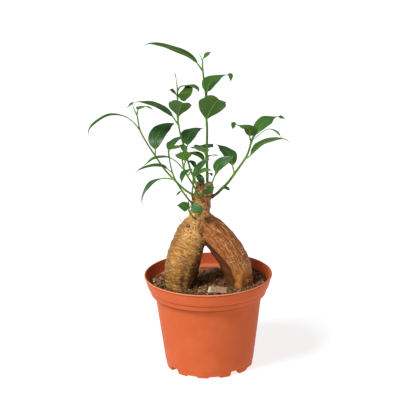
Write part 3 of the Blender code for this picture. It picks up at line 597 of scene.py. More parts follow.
def carry_sides(ways: Array, first: Sequence[float], start: int = 0) -> Array:
    """Carry a side direction along a curve without twisting it.

    Args:
        ways: The curve's directions.
        first: The side direction wanted at start.
        start: Which of the directions to begin at.

    Returns:
        One side direction for each of the ways.
    """
    sides = np.zeros_like(ways)
    side = np.asarray(first, float)
    sides[start] = unit(side - ways[start] * np.dot(side, ways[start]))
    for i in list(range(start + 1, len(ways))) + list(range(start - 1, -1, -1)):
        near = sides[i - 1] if i > start else sides[i + 1]
        sides[i] = unit(near - ways[i] * np.dot(near, ways[i]))
    return sides


def edge_loop(rows: int, columns: int) -> Array:
    """Give the numbers of a grid's edge points: along the first row, up the last column and back."""
    last = (rows - 1) * columns
    return np.concatenate([np.arange(columns - 1), np.arange(columns - 1, last + columns - 1, columns),
                           np.arange(last + columns - 1, last, -1), np.arange(last, 0, -columns)])


def sheet_faces(rows: int, columns: int) -> list[Array]:
    """Join an upper grid of points to a lower one as a closed sheet.

    Args:
        rows: Rows of points in each grid.
        columns: Points in a row.

    Returns:
        The faces above, below and round the edge.
    """
    faces = grid_faces(rows, columns)
    under = rows * columns
    rim = edge_loop(rows, columns)
    after = np.roll(rim, -1)
    return [faces, faces[:, ::-1] + under, np.stack([after, rim, under + rim, under + after], -1)]


def grid_faces(rows: int, columns: int, around: bool = False) -> Array:
    """Join a grid of points with four-sided faces.

    Args:
        rows: Rows of points.
        columns: Points in a row.
        around: True where the last column meets the first.

    Returns:
        The faces' point numbers.
    """
    index = np.arange(rows * columns).reshape(rows, columns)
    right = np.roll(index, -1, axis=1) if around else index[:, 1:]
    left = index if around else index[:, :-1]
    faces = np.stack([left[:-1], right[:-1], right[1:], left[1:]], -1)
    return faces.reshape(-1, 4)


class Form:
    """Gathers the points, faces and surface values of one piece."""

    def __init__(self) -> None:
        """Start with nothing."""
        self.points: list[Array] = []
        self.faces: list[list[int]] = []
        self.slots: list[int] = []
        self.marks: list[dict[str, Array | float]] = []
        self.count = 0

    def add(self, points: Array, faces: Sequence[Array], slot: int = 0,
            **marks: Array | float) -> None:
        """Add one closed shape.

        Args:
            points: Its points in millimetres.
            faces: Arrays of faces, each with the same number of corners.
            slot: Which of the piece's materials it takes.
            **marks: Surface values, one for all points or one for each.
        """
        for group in faces:
            self.faces.extend((np.asarray(group) + self.count).tolist())
            self.slots.extend([slot] * len(group))
        self.points.append(np.asarray(points, float))
        self.marks.append(marks)
        self.count += len(points)

    def mesh(self, name: str, materials: Sequence[Material]) -> bpy.types.Mesh:
        """Turn what was gathered into a mesh.

        Args:
            name: The mesh's name.
            materials: Its materials.

        Returns:
            The mesh.
        """
        mesh = bpy.data.meshes.new(name)
        places = (np.vstack(self.points) + AXIS) * MM
        mesh.from_pydata(places.tolist(), [], self.faces)
        for material in materials:
            mesh.materials.append(material)
        mesh.polygons.foreach_set("material_index", self.slots)
        for key in sorted({key for marks in self.marks for key in marks}):
            values = [np.broadcast_to(np.asarray(marks.get(key, 0.0), float), (len(points),))
                      for marks, points in zip(self.marks, self.points)]
            write_mark(mesh, key, np.concatenate(values))
        mesh.shade_smooth()
        return mesh

    def make(self, name: str, materials: Sequence[Material]) -> Piece:
        """Turn what was gathered into a piece that rides on the part's only body."""
        return settle(put(name, self.mesh(name, materials)))


def write_mark(mesh: bpy.types.Mesh, name: str, values: Array) -> None:
    """Store one value, or one place, for each point of a mesh."""
    kind, key = ("FLOAT", "value") if values.ndim == 1 else ("FLOAT_VECTOR", "vector")
    layer = mesh.attributes.new(name, kind, "POINT")
    layer.data.foreach_set(key, np.asarray(values, np.float32).ravel())


def put(name: str, data: bpy.types.ID) -> Piece:
    """Make an object in the scene."""
    thing = bpy.data.objects.new(name, data)
    bpy.context.scene.collection.objects.link(thing)
    return thing


def settle(piece: Piece) -> Piece:
    """Let a finished piece ride on the part's only body, and log its size."""
    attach(piece, "root")
    LOG.info("%s: %d faces", piece.name, len(piece.data.polygons))
    return piece


def bake(piece: Piece) -> None:
    """Turn a piece's modifiers into its mesh."""
    bpy.context.view_layer.update()
    graph = bpy.context.evaluated_depsgraph_get()
    mesh = bpy.data.meshes.new_from_object(piece.evaluated_get(graph))
    piece.modifiers.clear()
    piece.data = mesh


def tube(centers: Array, radii: Array, sides: int) -> Shape:
    """Make a closed tube.

    Args:
        centers: The middles of its rings.
        radii: Their radii.
        sides: Points in a ring.

    Returns:
        Its points and faces.
    """
    ways = unit(np.gradient(np.asarray(centers, float), axis=0))
    first = (0.0, 1.0, 0.03) if abs(ways[0][1]) < 0.9 else (1.0, 0.0, 0.0)
    across = carry_sides(ways, first)
    over = np.cross(ways, across)
    turns = np.linspace(0.0, 2.0 * math.pi, sides, endpoint=False)[None, :, None]
    rings = across[:, None] * np.cos(turns) + over[:, None] * np.sin(turns)
    return ringed(np.asarray(centers, float), rings * np.asarray(radii, float)[:, None, None])


def ringed(centers: Array, rings: Array) -> Shape:
    """Close rings of points round their middles into one shape.

    Args:
        centers: The rings' middles.
        rings: The rings' points, from their middles.

    Returns:
        The shape's points and faces.
    """
    count, sides = rings.shape[:2]
    points = np.vstack([(centers[:, None] + rings).reshape(-1, 3), centers[0], centers[-1]])
    start, end = count * sides, count * sides + 1
    a = np.arange(sides)
    b = np.roll(a, -1)
    last = (count - 1) * sides
    caps = np.vstack([np.stack([b, a, np.full(sides, start)], -1),
                      np.stack([last + a, last + b, np.full(sides, end)], -1)])
    return points, [grid_faces(count, sides, around=True), caps]


# Leaves and shoots


# Ways that blades face: the upper side to the viewer, or the underside
LIT: Place = (-0.3, -0.75, 0.6)
UNDER: Place = (0.05, 0.75, 0.65)


@dataclass(frozen=True)
class Leaf:
    """One leaf on its petiole.

    Attributes:
        root: Where the petiole leaves the stem.
        base: Where the blade begins.
        bends: Places along the midrib.
        tip: The leaf's tip.
        width: The blade's greatest width.
        face: The way that the upper side faces.
        fold: How far the sides rise from the midrib.
        age: From 0, new and bright, to 1, old and dark.
        widest: Where the blade is widest, as a share of its length.
        blunt: Width near the tip, as a share of the greatest.
        flip: Angle by which the tip has turned over.
    """

    root: Place
    base: Place
    bends: tuple[Place, ...]
    tip: Place
    width: float
    face: Place
    fold: float = 0.1
    age: float = 0.6
    widest: float = 0.42
    blunt: float = 0.0
    flip: float = 0.0

    def columns(self) -> Array:
        """Give where the blade's columns of points lie, from -1 at one edge to 1 at the other."""
        half = np.array([0.05, 0.12, 0.24, 0.4, 0.57, 0.74, 0.88, 0.97, 1.0])
        return np.concatenate([-half[::-1], [0.0], half])

    def outline(self, s: Array) -> Array:
        """Give the blade's half width at shares of its length."""
        body = np.sin(np.pi * np.clip(s, 0.0, 1.0) ** (math.log(0.5) / math.log(self.widest))) ** 0.85
        if self.blunt:
            end = np.sqrt(np.clip((1.0 - s) / 0.15, 0.0, 1.0))
            body = np.maximum(body, self.blunt * ease(0.3, 0.7, s) * end)
        elif self.flip:
            body = body * (1.0 - 0.94 * ease(0.45, 0.84, s))
            hook = np.clip((s - 0.8) / 0.07, 0.0, 1.0) * np.clip((1.0 - s) / 0.13, 0.0, 1.0)
            body = np.maximum(body, 0.34 * self.flip * hook)
        else:
            body = body * (1.0 - 0.5 * ease(0.75, 0.96, s))
        return np.maximum(self.width / 2.0 * body, 0.4 - 0.28 * s)

    def shape(self, form: Form, luck: Luck) -> None:
        """Add the blade, its midrib and its petiole to a shoot.

        Args:
            form: The shoot.
            luck: The shoot's seeded draws.
        """
        run = Run((self.root, self.base, *self.bends, self.tip))
        start = run.knot(self.base)
        length = run.lengths[-1] - start
        rows = int(np.clip(length / 0.75, 14, 60))
        s = np.linspace(0.0, 1.0, rows + 1)
        s = s - 0.035 * np.sin(2.0 * np.pi * s)
        middle, ways = run.at(start + s * length)
        upright = carry_sides(ways, self.face, start=int(np.argmin(abs(s - 0.25))))
        across = np.cross(ways, upright)
        turn = (self.flip * ease(0.74, 0.88, s))[:, None]
        upright, across = (upright * np.cos(turn) + across * np.sin(turn),
                           across * np.cos(turn) - upright * np.sin(turn))
        x = self.columns()
        half = self.outline(s)
        phase = luck.uniform(0.0, 6.3, 4)
        edge = 1.0 + 0.03 * np.sin(9.0 * s[:, None] + phase[0] + (x > 0) * 2.0) * abs(x) ** 3
        wave = 0.05 * np.sin(2.0 * np.pi * 2.1 * s[:, None] + phase[1] + (x > 0) * phase[2]) * abs(x) ** 3
        lift = half[:, None] * (self.fold * (0.4 * abs(x) + 0.6 * x * x) + wave * ease(0.0, 0.2, s)[:, None])
        vein = np.sin(np.pi * (s[:, None] * VEINS - abs(x) * VEIN_SLANT)) ** 2
        lift = lift + 0.09 * vein * (1.0 - x**4) * np.minimum(half[:, None] / 5.0, 1.0)
        thick = 0.22 * (1.0 - 0.5 * x**4)[None] * np.ones_like(lift)
        groove = 0.2 * bell(x[None] * half[:, None], 0.5)
        sheet = middle[:, None] + across[:, None] * (half[:, None] * x * edge)[..., None]
        top = sheet + upright[:, None] * (lift + thick - groove)[..., None]
        low = sheet + upright[:, None] * (lift - thick)[..., None]
        count = len(s) * len(x)
        marks = {"along": np.tile(np.repeat(s, len(x)), 2), "across": np.tile(x, 2 * len(s)),
                 "age": self.age, "upper": np.repeat([1.0, 0.0], count)}
        points = np.vstack([top.reshape(-1, 3), low.reshape(-1, 3)])
        form.add(points, sheet_faces(len(s), len(x)), 0, **marks)
        self.midrib(form, run, start, length)

    def midrib(self, form: Form, run: Run, start: float, length: float) -> None:
        """Add the petiole and the raised rib that it becomes under the blade."""
        stalk = np.linspace(0.0, start, max(3, int(start / 0.8)))[:-1]
        s = np.linspace(0.0, 0.94, max(8, int(length / 1.6)))
        middle, ways = run.at(np.concatenate([stalk, start + s * length]))
        upright = carry_sides(ways, self.face, start=len(stalk) + int(np.argmin(abs(s - 0.25))))
        small = min(1.0, self.width / 9.0)
        radii = np.concatenate([np.full(len(stalk), 0.55 * small + 0.08), (0.5 - 0.4 * s) * small + 0.05])
        sink = np.concatenate([np.zeros(len(stalk)), (0.1 + 0.3 * radii[len(stalk):]) * ease(0.0, 0.15, s)])
        points, faces = tube(middle - upright * sink[:, None], radii, 8)
        bright = 0.35 + 0.4 * (1.0 - self.age)
        form.add(points, faces, 1, bright=bright, wood=0.0)


@dataclass(frozen=True)
class Shoot:
    """One leafy stem.

    Attributes:
        node: The frame's node that it stands for.
        stem: Places along the stem.
        base_radius: Radius at the base.
        leaves: Its leaves.
        wood: How brown its lower part is, from 0 to 1.
    """

    node: str
    stem: tuple[Place, ...]
    base_radius: float
    leaves: tuple[Leaf, ...]
    wood: float = 0.1

    def build(self, seed: int, finishes: Sequence[Material], skin: BVHTree) -> None:
        """Build the shoot.

        Args:
            seed: Number for its random draws.
            finishes: The blade's and the stem's materials.
            skin: The surface of the trunk that it grows from.
        """
        form = Form()
        luck = np.random.default_rng(seed)
        self.stalk(form, skin)
        for leaf in self.leaves:
            leaf.shape(form, luck)
        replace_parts(form.make(self.node + "_leafy", finishes), self.node)

    def stalk(self, form: Form, skin: BVHTree) -> None:
        """Add the stem, swollen at its nodes and pointed at its tip."""
        run = Run(self.stem)
        end = run.lengths[-1]
        stations = np.linspace(0.0, end, max(20, int(end / 0.7)))
        middle, _ = run.at(stations)
        share = stations / end
        radii = self.base_radius * (1.0 - 0.38 * np.minimum(share / 0.88, 1.0))
        spear = np.clip((share - 0.88) / 0.12, 0.0, 1.0)
        radii = radii + (0.12 - radii) * spear**1.4
        bright = ease(0.84, 0.95, share)
        for leaf in self.leaves:
            gap = stations - run.knot(leaf.root)
            radii = radii * (1.0 + 0.3 * bell(gap, 0.9) + 0.14 * bell(gap + 1.5, 0.35))
            bright = np.maximum(bright, 0.85 * bell(gap, 1.7))
        root = stations[int(np.argmax([depth_in(skin, place) < 0.0 for place in middle]))]
        radii = radii * (1.0 + 0.55 * bell(stations - root, 1.5))
        sides = 12
        points, faces = tube(middle, radii, sides)
        spread = [np.append(np.repeat(values, sides), [values[0], values[-1]])
                  for values in (bright, self.wood * ease(0.55, 0.0, share))]
        form.add(points, faces, 1, bright=spread[0], wood=spread[1])


SHOOTS: tuple[Shoot, ...] = (
    Shoot("shoot_tall", base_radius=1.15, wood=0.15, stem=(
        (0.5, 5, 156), (0.5, 7, 174), (0.5, 8, 187), (1, 9, 204), (0.5, 9, 217), (0.5, 9, 232),
        (-1, 8, 246.5), (-2, 7, 257.5), (-2, 6.5, 263), (-5, 6, 270),
    ), leaves=(
        Leaf((-2.5, 7, 255), (-6, 5, 261), ((-11.5, 2, 267.5), (-20, -1, 273), (-27.5, -3, 276.5),
            (-35, -4, 279), (-44.5, -4, 280.3)), (-49.5, -4, 278.5), 9.0, (-0.1, 0.48, 0.87), 0.03, 0.85),
        Leaf((-2, 6.5, 262), (-1, 6, 265.5), ((1.5, 4, 268.5),), (5.5, 3, 271), 4.6, (-0.5, -0.6, 0.6), 0.1,
            0.45),
        Leaf((0.5, 8.5, 208.5), (0.5, 6, 212.5), ((2.5, -2, 220.5), (6, -9, 228.5), (9.2, -14, 234)),
            (11.5, -16, 235.5), 23.5, UNDER, 0.3, 0.7, widest=0.62, blunt=0.8),
        Leaf((0.5, 9, 230.5), (1.5, 12, 235.5), ((3.4, 18, 241.3), (7.8, 26, 243.2), (13, 31, 244),
            (17.5, 34, 244.2), (21, 35, 243.5)), (21.5, 34, 238.5), 13.5, LIT, 0.1, 0.5, widest=0.33,
            flip=1.1),
        Leaf((0.5, 7.5, 180), (-2.5, 10, 186), ((-4, 15, 187), (0, 22, 185.5)), (6.5, 30, 186), 14,
            (0, -0.3, 0.95), 0.1, 0.85, widest=0.4),
        Leaf((0, 7.5, 181), (-1, 4, 185.5), ((-5, -4, 191.5),), (-12, -11, 195), 14, (0.2, 0.58, 0.8), 0.03,
            0.3, widest=0.5, blunt=0.7),
        Leaf((0.5, 7, 179), (2, 9, 181), ((5.5, 16, 180),), (10, 21, 178), 7, (-0.1, 0.25, 1), 0.03, 0.6),
        Leaf((0.5, 6, 165), (1.5, 5, 167), ((3.5, 2, 168),), (4.5, 0, 166), 3.5, (0, 0.3, 1), 0.1, 0.7),
    )),
    Shoot("shoot_upper_left", base_radius=0.95, stem=(
        (-7.2, 3.6, 151.5), (-8.2, 5, 155.5), (-10, 6.5, 161), (-13.5, 9, 170), (-16, 11, 179),
        (-18, 12, 187.5), (-21, 12, 198.5), (-22.5, 12, 207), (-23.5, 11, 216.5), (-23, 10, 229.5),
        (-23, 9, 239.5), (-23.5, 8.5, 245), (-24, 8, 250),
    ), leaves=(
        Leaf((-23, 9.5, 237), (-20.5, 8, 241), ((-15, 5, 243), (-10, 1, 243.5), (-6.5, -3, 242)),
            (-5, -6, 239.5), 9, (0.1, 0.1, 1), 0.03, 0.45),
        Leaf((-23, 9.5, 232), (-22.5, 7, 234), ((-19, 3, 236.5), (-14.5, -1, 238.5)), (-10.5, -4, 239.5),
            15, (0.3, 0.6, -0.65), 0.1, 0.8, widest=0.55, blunt=0.75),
        Leaf((-23, 10, 231), (-23.5, 8.5, 233.5), ((-25.5, 4, 237.5),), (-29.5, -1, 241), 7,
            (0.0, -0.7, 0.75), 0.1, 0.05, widest=0.32),
        Leaf((-23.1, 11.2, 210.6), (-22.5, 8, 215), ((-22.2, 2, 220.5), (-21.2, -5, 226.5),
            (-19.5, -11, 231.5)), (-18, -14, 233), 19, UNDER, 0.3, 0.7, widest=0.62, blunt=0.8),
        Leaf((-23, 12, 207.5), (-27.5, 12, 215), ((-32.5, 13, 219.7), (-40, 14, 224), (-49, 16, 226.2),
            (-59.5, 17, 226.2)), (-65.5, 17, 221.5), 10, (0.3, -0.2, 0.9), 0.03, 0.85, widest=0.3,
            flip=0.9),
        Leaf((-17.5, 12, 185.5), (-15.5, 15, 189.5), ((-15, 21, 194), (-12.3, 28, 197), (-7.5, 35, 197.5)),
            (-1.5, 40, 197), 14.5, LIT, 0.1, 0.9, widest=0.4),
    )),
    Shoot("shoot_inner_left", base_radius=0.8, stem=(
        (-12, -5.5, 144.5), (-14, -8.5, 147.5), (-19, -12, 155.5), (-24.5, -15, 165.5), (-28, -18, 175.5),
        (-30, -20, 186.5), (-30.5, -21, 192), (-31.5, -21.5, 195.5),
    ), leaves=(
        Leaf((-30.5, -21, 190), (-30.7, -18.5, 195), ((-28.2, -14, 198.5), (-24.9, -8, 200.2)),
            (-19.5, 0, 201.7), 11, (-0.6, -0.6, 0.6), 0.1, 0.8),
        Leaf((-30.5, -20.5, 189), (-30, -24, 196.5), ((-25.5, -31, 200.3),), (-20.5, -38, 204), 8,
            (0.1, 0.5, 0.85), 0.1, 0.5),
        Leaf((-28, -18, 175), (-32, -18, 178.5), ((-34.5, -18, 180.8), (-39, -19, 182.3), (-48.5, -22, 182),
            (-55, -24, 180)), (-58.5, -24, 176.5), 6, (0.15, -0.15, 1), 0.03, 0.7, widest=0.2),
        Leaf((-20, -12.7, 157.5), (-21.2, -14, 158), ((-23.3, -15, 156.8),), (-25.5, -16, 154.5), 1.9,
            (-0.3, -0.6, 0.7), 0.1, 0.9),
    )),
    Shoot("shoot_far_left", base_radius=0.95, stem=(
        (-9, -1, 149), (-18.5, 5, 153.5), (-24.5, 8, 158.5), (-34, 12, 168), (-42.5, 15, 180),
        (-51, 18, 193.5), (-55, 20, 201.5), (-57.5, 22, 214.5), (-59, 22, 217.5), (-61, 22, 223.5),
        (-62, 22, 225),
    ), leaves=(
        Leaf((-55, 20, 201), (-60, 17, 209), ((-66, 14, 214.7), (-73.5, 12, 217.3), (-81, 10, 217.3),
            (-88.7, 9, 213.9), (-95, 7, 208.7), (-97.2, 6, 204.5)), (-96.5, 6, 200.5), 7.5, (0, 0, 1), 0.03,
            0.75, widest=0.6),
        Leaf((-42.5, 15, 179.5), (-42.5, 17, 185.5), ((-42, 21, 192.5), (-38.5, 27, 198), (-33, 34, 201)),
            (-26.5, 40, 201.5), 15.5, LIT, 0.1, 0.95, blunt=0.2),
        Leaf((-57, 22, 215), (-56, 19, 219.5), ((-49, 6, 225.3),), (-42.5, 0, 223.8), 8, (0.2, -0.15, 1),
            0.1, 0.45, widest=0.35),
        Leaf((-29, 9.5, 161.5), (-36.5, 12, 161.6), ((-43, 13, 159.3), (-48.7, 15, 154.6),
            (-53.2, 16, 147.8), (-55, 16, 141.5)), (-54.5, 16, 137.5), 11.5, (-0.15, -0.32, 1), 0.03, 0.85,
            widest=0.6),
    )),
    Shoot("shoot_front_left", base_radius=0.9, wood=0.2, stem=(
        (-5, -6.5, 150.5), (-7.5, -9.5, 154), (-10.5, -14, 162), (-14.5, -19, 170.5), (-18, -22, 178.5),
        (-19.5, -23, 186), (-20, -23, 189.5), (-21.5, -23, 196.5),
    ), leaves=(
        Leaf((-18, -22, 178), (-25, -23, 186.5), ((-30.5, -25, 190.4), (-37, -28, 192), (-43, -30, 191),
            (-48.3, -32, 187.7)), (-52, -32, 184.8), 7, (0, 0, 1), 0.03, 0.65, widest=0.36),
        Leaf((-15.5, -20, 173), (-12, -23.5, 179.5), ((-16.5, -28, 179.2), (-19.5, -32, 176.5)),
            (-20.5, -34, 171), 8.5, (-0.6, -0.3, 0.6), 0.1, 0.85),
        Leaf((-18.9, -22.7, 182.5), (-17, -25, 186.6), ((-18.2, -28, 191.2), (-19.7, -31, 195)),
            (-20.7, -32, 196.5), 14, UNDER, 0.15, 0.35, widest=0.6, blunt=0.75),
        Leaf((-18.4, -22.3, 180.4), (-16.7, -19.5, 192), ((-18.8, -15, 196.2),), (-22, -11, 197), 5,
            (-0.2, -0.6, 0.7), 0.1, 0.85),
    )),
    Shoot("shoot_center", base_radius=0.75, wood=0.2, stem=(
        (-10.5, -3.5, 146), (-12.2, -5, 150), (-12, -5.5, 156), (-11.2, -6, 161.5), (-11, -6, 167),
        (-9, -6, 171), (-7.5, -6, 175.5),
    ), leaves=(
        Leaf((-11, -6, 164), (-11, -8, 168.5), ((-9, -9, 173.5), (-5.5, -11, 178.5), (-1.5, -12, 182.5)),
            (3.5, -13, 184.7), 6, (-0.6, -0.75, 0.3), 0.03, 0.75),
        Leaf((-8.3, -6, 173), (-2.5, -5, 180.5), ((-4, -4.5, 184.8), (-8.5, -2.5, 186.7)),
            (-15.5, 0.5, 187.1), 6, (0.3, -0.45, 0.8), 0.1, 0.3),
        Leaf((-10.8, -6, 167.5), (-7.7, -10, 171.5), ((-4.4, -14, 175), (0, -18, 177.2)), (5, -21, 177.7),
            5.5, (-0.1, -0.55, 0.8), 0.03, 0.1, widest=0.35),
        Leaf((-10.9, -6.1, 165.4), (-9.5, -5, 175), ((-11, -3, 178.8), (-14.5, 1, 179.5)), (-15.6, 3, 178),
            5, (0.3, -0.4, 0.8), 0.1, 0.8),
        Leaf((-11.8, -5.6, 157.5), (-8, -10.5, 170.5), ((-4.8, -15, 168.5),), (-1.9, -18, 163.5), 5.6,
            (-0.2, -0.75, 0.6), 0.1, 0.8),
    )),
    Shoot("shoot_center_right", base_radius=0.85, wood=0.2, stem=(
        (0.2, -2.8, 152), (0.5, -5.5, 155), (1.5, -9.5, 158.5), (4, -13, 163.5), (5.5, -16, 168.5),
        (7, -18, 173), (7.5, -18.5, 176), (8.5, -19, 180),
    ), leaves=(
        Leaf((6.8, -17.8, 172), (8, -19.5, 174.5), ((8, -21, 179.6), (11, -23, 183.7), (16.3, -24, 187.2)),
            (23.5, -25, 190.7), 9.5, (-0.5, -0.75, 0.5), 0.03, 0.85, widest=0.38),
        Leaf((1.6, -9.7, 158.8), (4.6, -12, 159.5), ((2, -13.5, 157.8),), (-3.2, -15, 155.8), 4.8,
            (0.1, -0.9, 0.35), 0.1, 0.45, blunt=0.3),
    )),
    Shoot("shoot_right", base_radius=1.25, wood=0.75, stem=(
        (2, -0.8, 148.2), (4.5, -2, 149.5), (7.5, -3, 151.5), (11.5, -4, 155.5), (18, -6, 163),
        (24, -8, 172), (29.5, -9, 180), (32.5, -10, 185), (35, -10.5, 191), (37, -11, 198.5),
        (39.5, -11, 205), (41, -11, 208),
    ), leaves=(
        Leaf((32.5, -10, 184), (36, -12, 187), ((39.3, -15, 193), (43, -18, 198), (47, -21, 201),
            (53, -25, 204), (60, -28, 205.6), (65, -30, 205)), (68, -31, 202.5), 9, (0, 0.5, 0.85), 0.03,
            0.65, widest=0.48),
        Leaf((39, -11, 202.5), (40.5, -9, 204), ((42.4, -6, 208), (46.2, -2, 211.2), (51, 2, 213.2),
            (56, 6, 214.2), (61, 8, 214.3)), (66, 9, 212.3), 11.5, (-0.25, -0.75, 0.6), 0.1, 0.5,
            widest=0.4, flip=0.8),
        Leaf((37, -11, 198), (35.5, -13, 204), ((36, -16, 210), (32.5, -20, 213.7), (27, -24, 215.8),
            (23, -26, 217.3)), (21.5, -27, 213.8), 13.5, (0.3, 0.75, 0.6), 0.1, 0.75, widest=0.35,
            flip=1.3),
        Leaf((37.5, -11, 199.5), (50.5, 3, 205), ((55.5, 8, 203.3), (59.5, 11, 199.8)), (62.5, 13, 195.3),
            4, (0, 0.25, 1), 0.03, 0.3),
        Leaf((23, -7.7, 170), (21.5, -4, 176.5), ((20.6, 1, 180.8), (18.5, 7, 183.8), (15, 14, 185.6)),
            (8.5, 21, 188), 12.5, (0.3, -0.7, 0.6), 0.1, 0.9),
        Leaf((14, -4.8, 158), (14.5, -7, 159), ((16.5, -10, 158.8),), (19, -13, 157.5), 3.6,
            (-0.1, -0.3, 1), 0.1, 0.8),
    )),
    Shoot("shoot_low", base_radius=0.8, wood=0.0, stem=(
        (-8.5, -7, 130.5), (-11, -11.5, 134), (-13, -13.5, 137), (-15, -14.5, 141), (-15, -15, 146.5),
        (-15.5, -15, 151),
    ), leaves=(
        Leaf((-15, -14.8, 143), (-15.6, -15.8, 143.6), ((-19, -18, 146.4),), (-24.8, -20, 147.8), 8,
            (0.3, -0.85, 0.3), 0.1, 0.6, widest=0.33),
        Leaf((-14.8, -14.8, 144), (-13, -16, 145.2), ((-9.2, -18, 144.4), (-6.2, -19.6, 142.5)),
            (-5.4, -20.2, 138.8), 9, (-0.1, -0.8, 0.5), 0.1, 0.75, widest=0.36),
    )),
)


# Pot


def rounded(outline: Sequence[Pair], bend: float, stretch: float = 3.0) -> Array:
    """Round an outline's corners and divide its long straight parts.

    Args:
        outline: Corners in order.
        bend: How far from a corner its round part begins.
        stretch: Longest part that isn't divided.

    Returns:
        Points along the rounded outline.
    """
    corners = np.asarray(outline, float)
    line = [corners[0]]
    for before, corner, after in zip(corners[:-2], corners[1:-1], corners[2:]):
        reach = min(bend, 0.45 * math.dist(before, corner), 0.45 * math.dist(after, corner))
        leave = corner + unit(before - corner) * reach
        arrive = corner + unit(after - corner) * reach
        line.extend((1.0 - t) ** 2 * leave + 2.0 * t * (1.0 - t) * corner + t * t * arrive
                    for t in np.linspace(0.0, 1.0, 4))
    line.append(corners[-1])
    close = [line[0]]
    for point in line[1:]:
        start = close[-1]
        parts = max(1, int(math.dist(start, point) / stretch))
        close.extend(start + (point - start) * (k + 1) / parts for k in range(parts))
    return np.array(close)


def turned(points: Array, degrees: float) -> Array:
    """Turn points about the pot's axis."""
    turn = math.radians(degrees)
    cos, sin = math.cos(turn), math.sin(turn)
    return points @ np.array(((cos, -sin, 0.0), (sin, cos, 0.0), (0.0, 0.0, 1.0))).T


def raw_solid(name: str, points: Array, faces: Sequence[Array]) -> Piece:
    """Make a closed working shape whose faces point out."""
    form = Form()
    form.add(points, faces)
    mesh = form.mesh(name, ())
    work = bmesh.new()
    work.from_mesh(mesh)
    bmesh.ops.recalc_face_normals(work, faces=work.faces)
    work.to_mesh(mesh)
    work.free()
    return put(name, mesh)


def cut(piece: Piece, cutters: Sequence[Piece]) -> None:
    """Cut a piece with others, then remove them."""
    group = bpy.data.collections.new("cutters")
    bpy.context.scene.collection.children.link(group)
    for cutter in cutters:
        bpy.context.scene.collection.objects.unlink(cutter)
        group.objects.link(cutter)
    change = piece.modifiers.new("cut", "BOOLEAN")
    change.operand_type = "COLLECTION"
    change.collection = group
    bake(piece)
    for cutter in cutters:
        bpy.data.objects.remove(cutter, do_unlink=True)
    bpy.data.collections.remove(group)


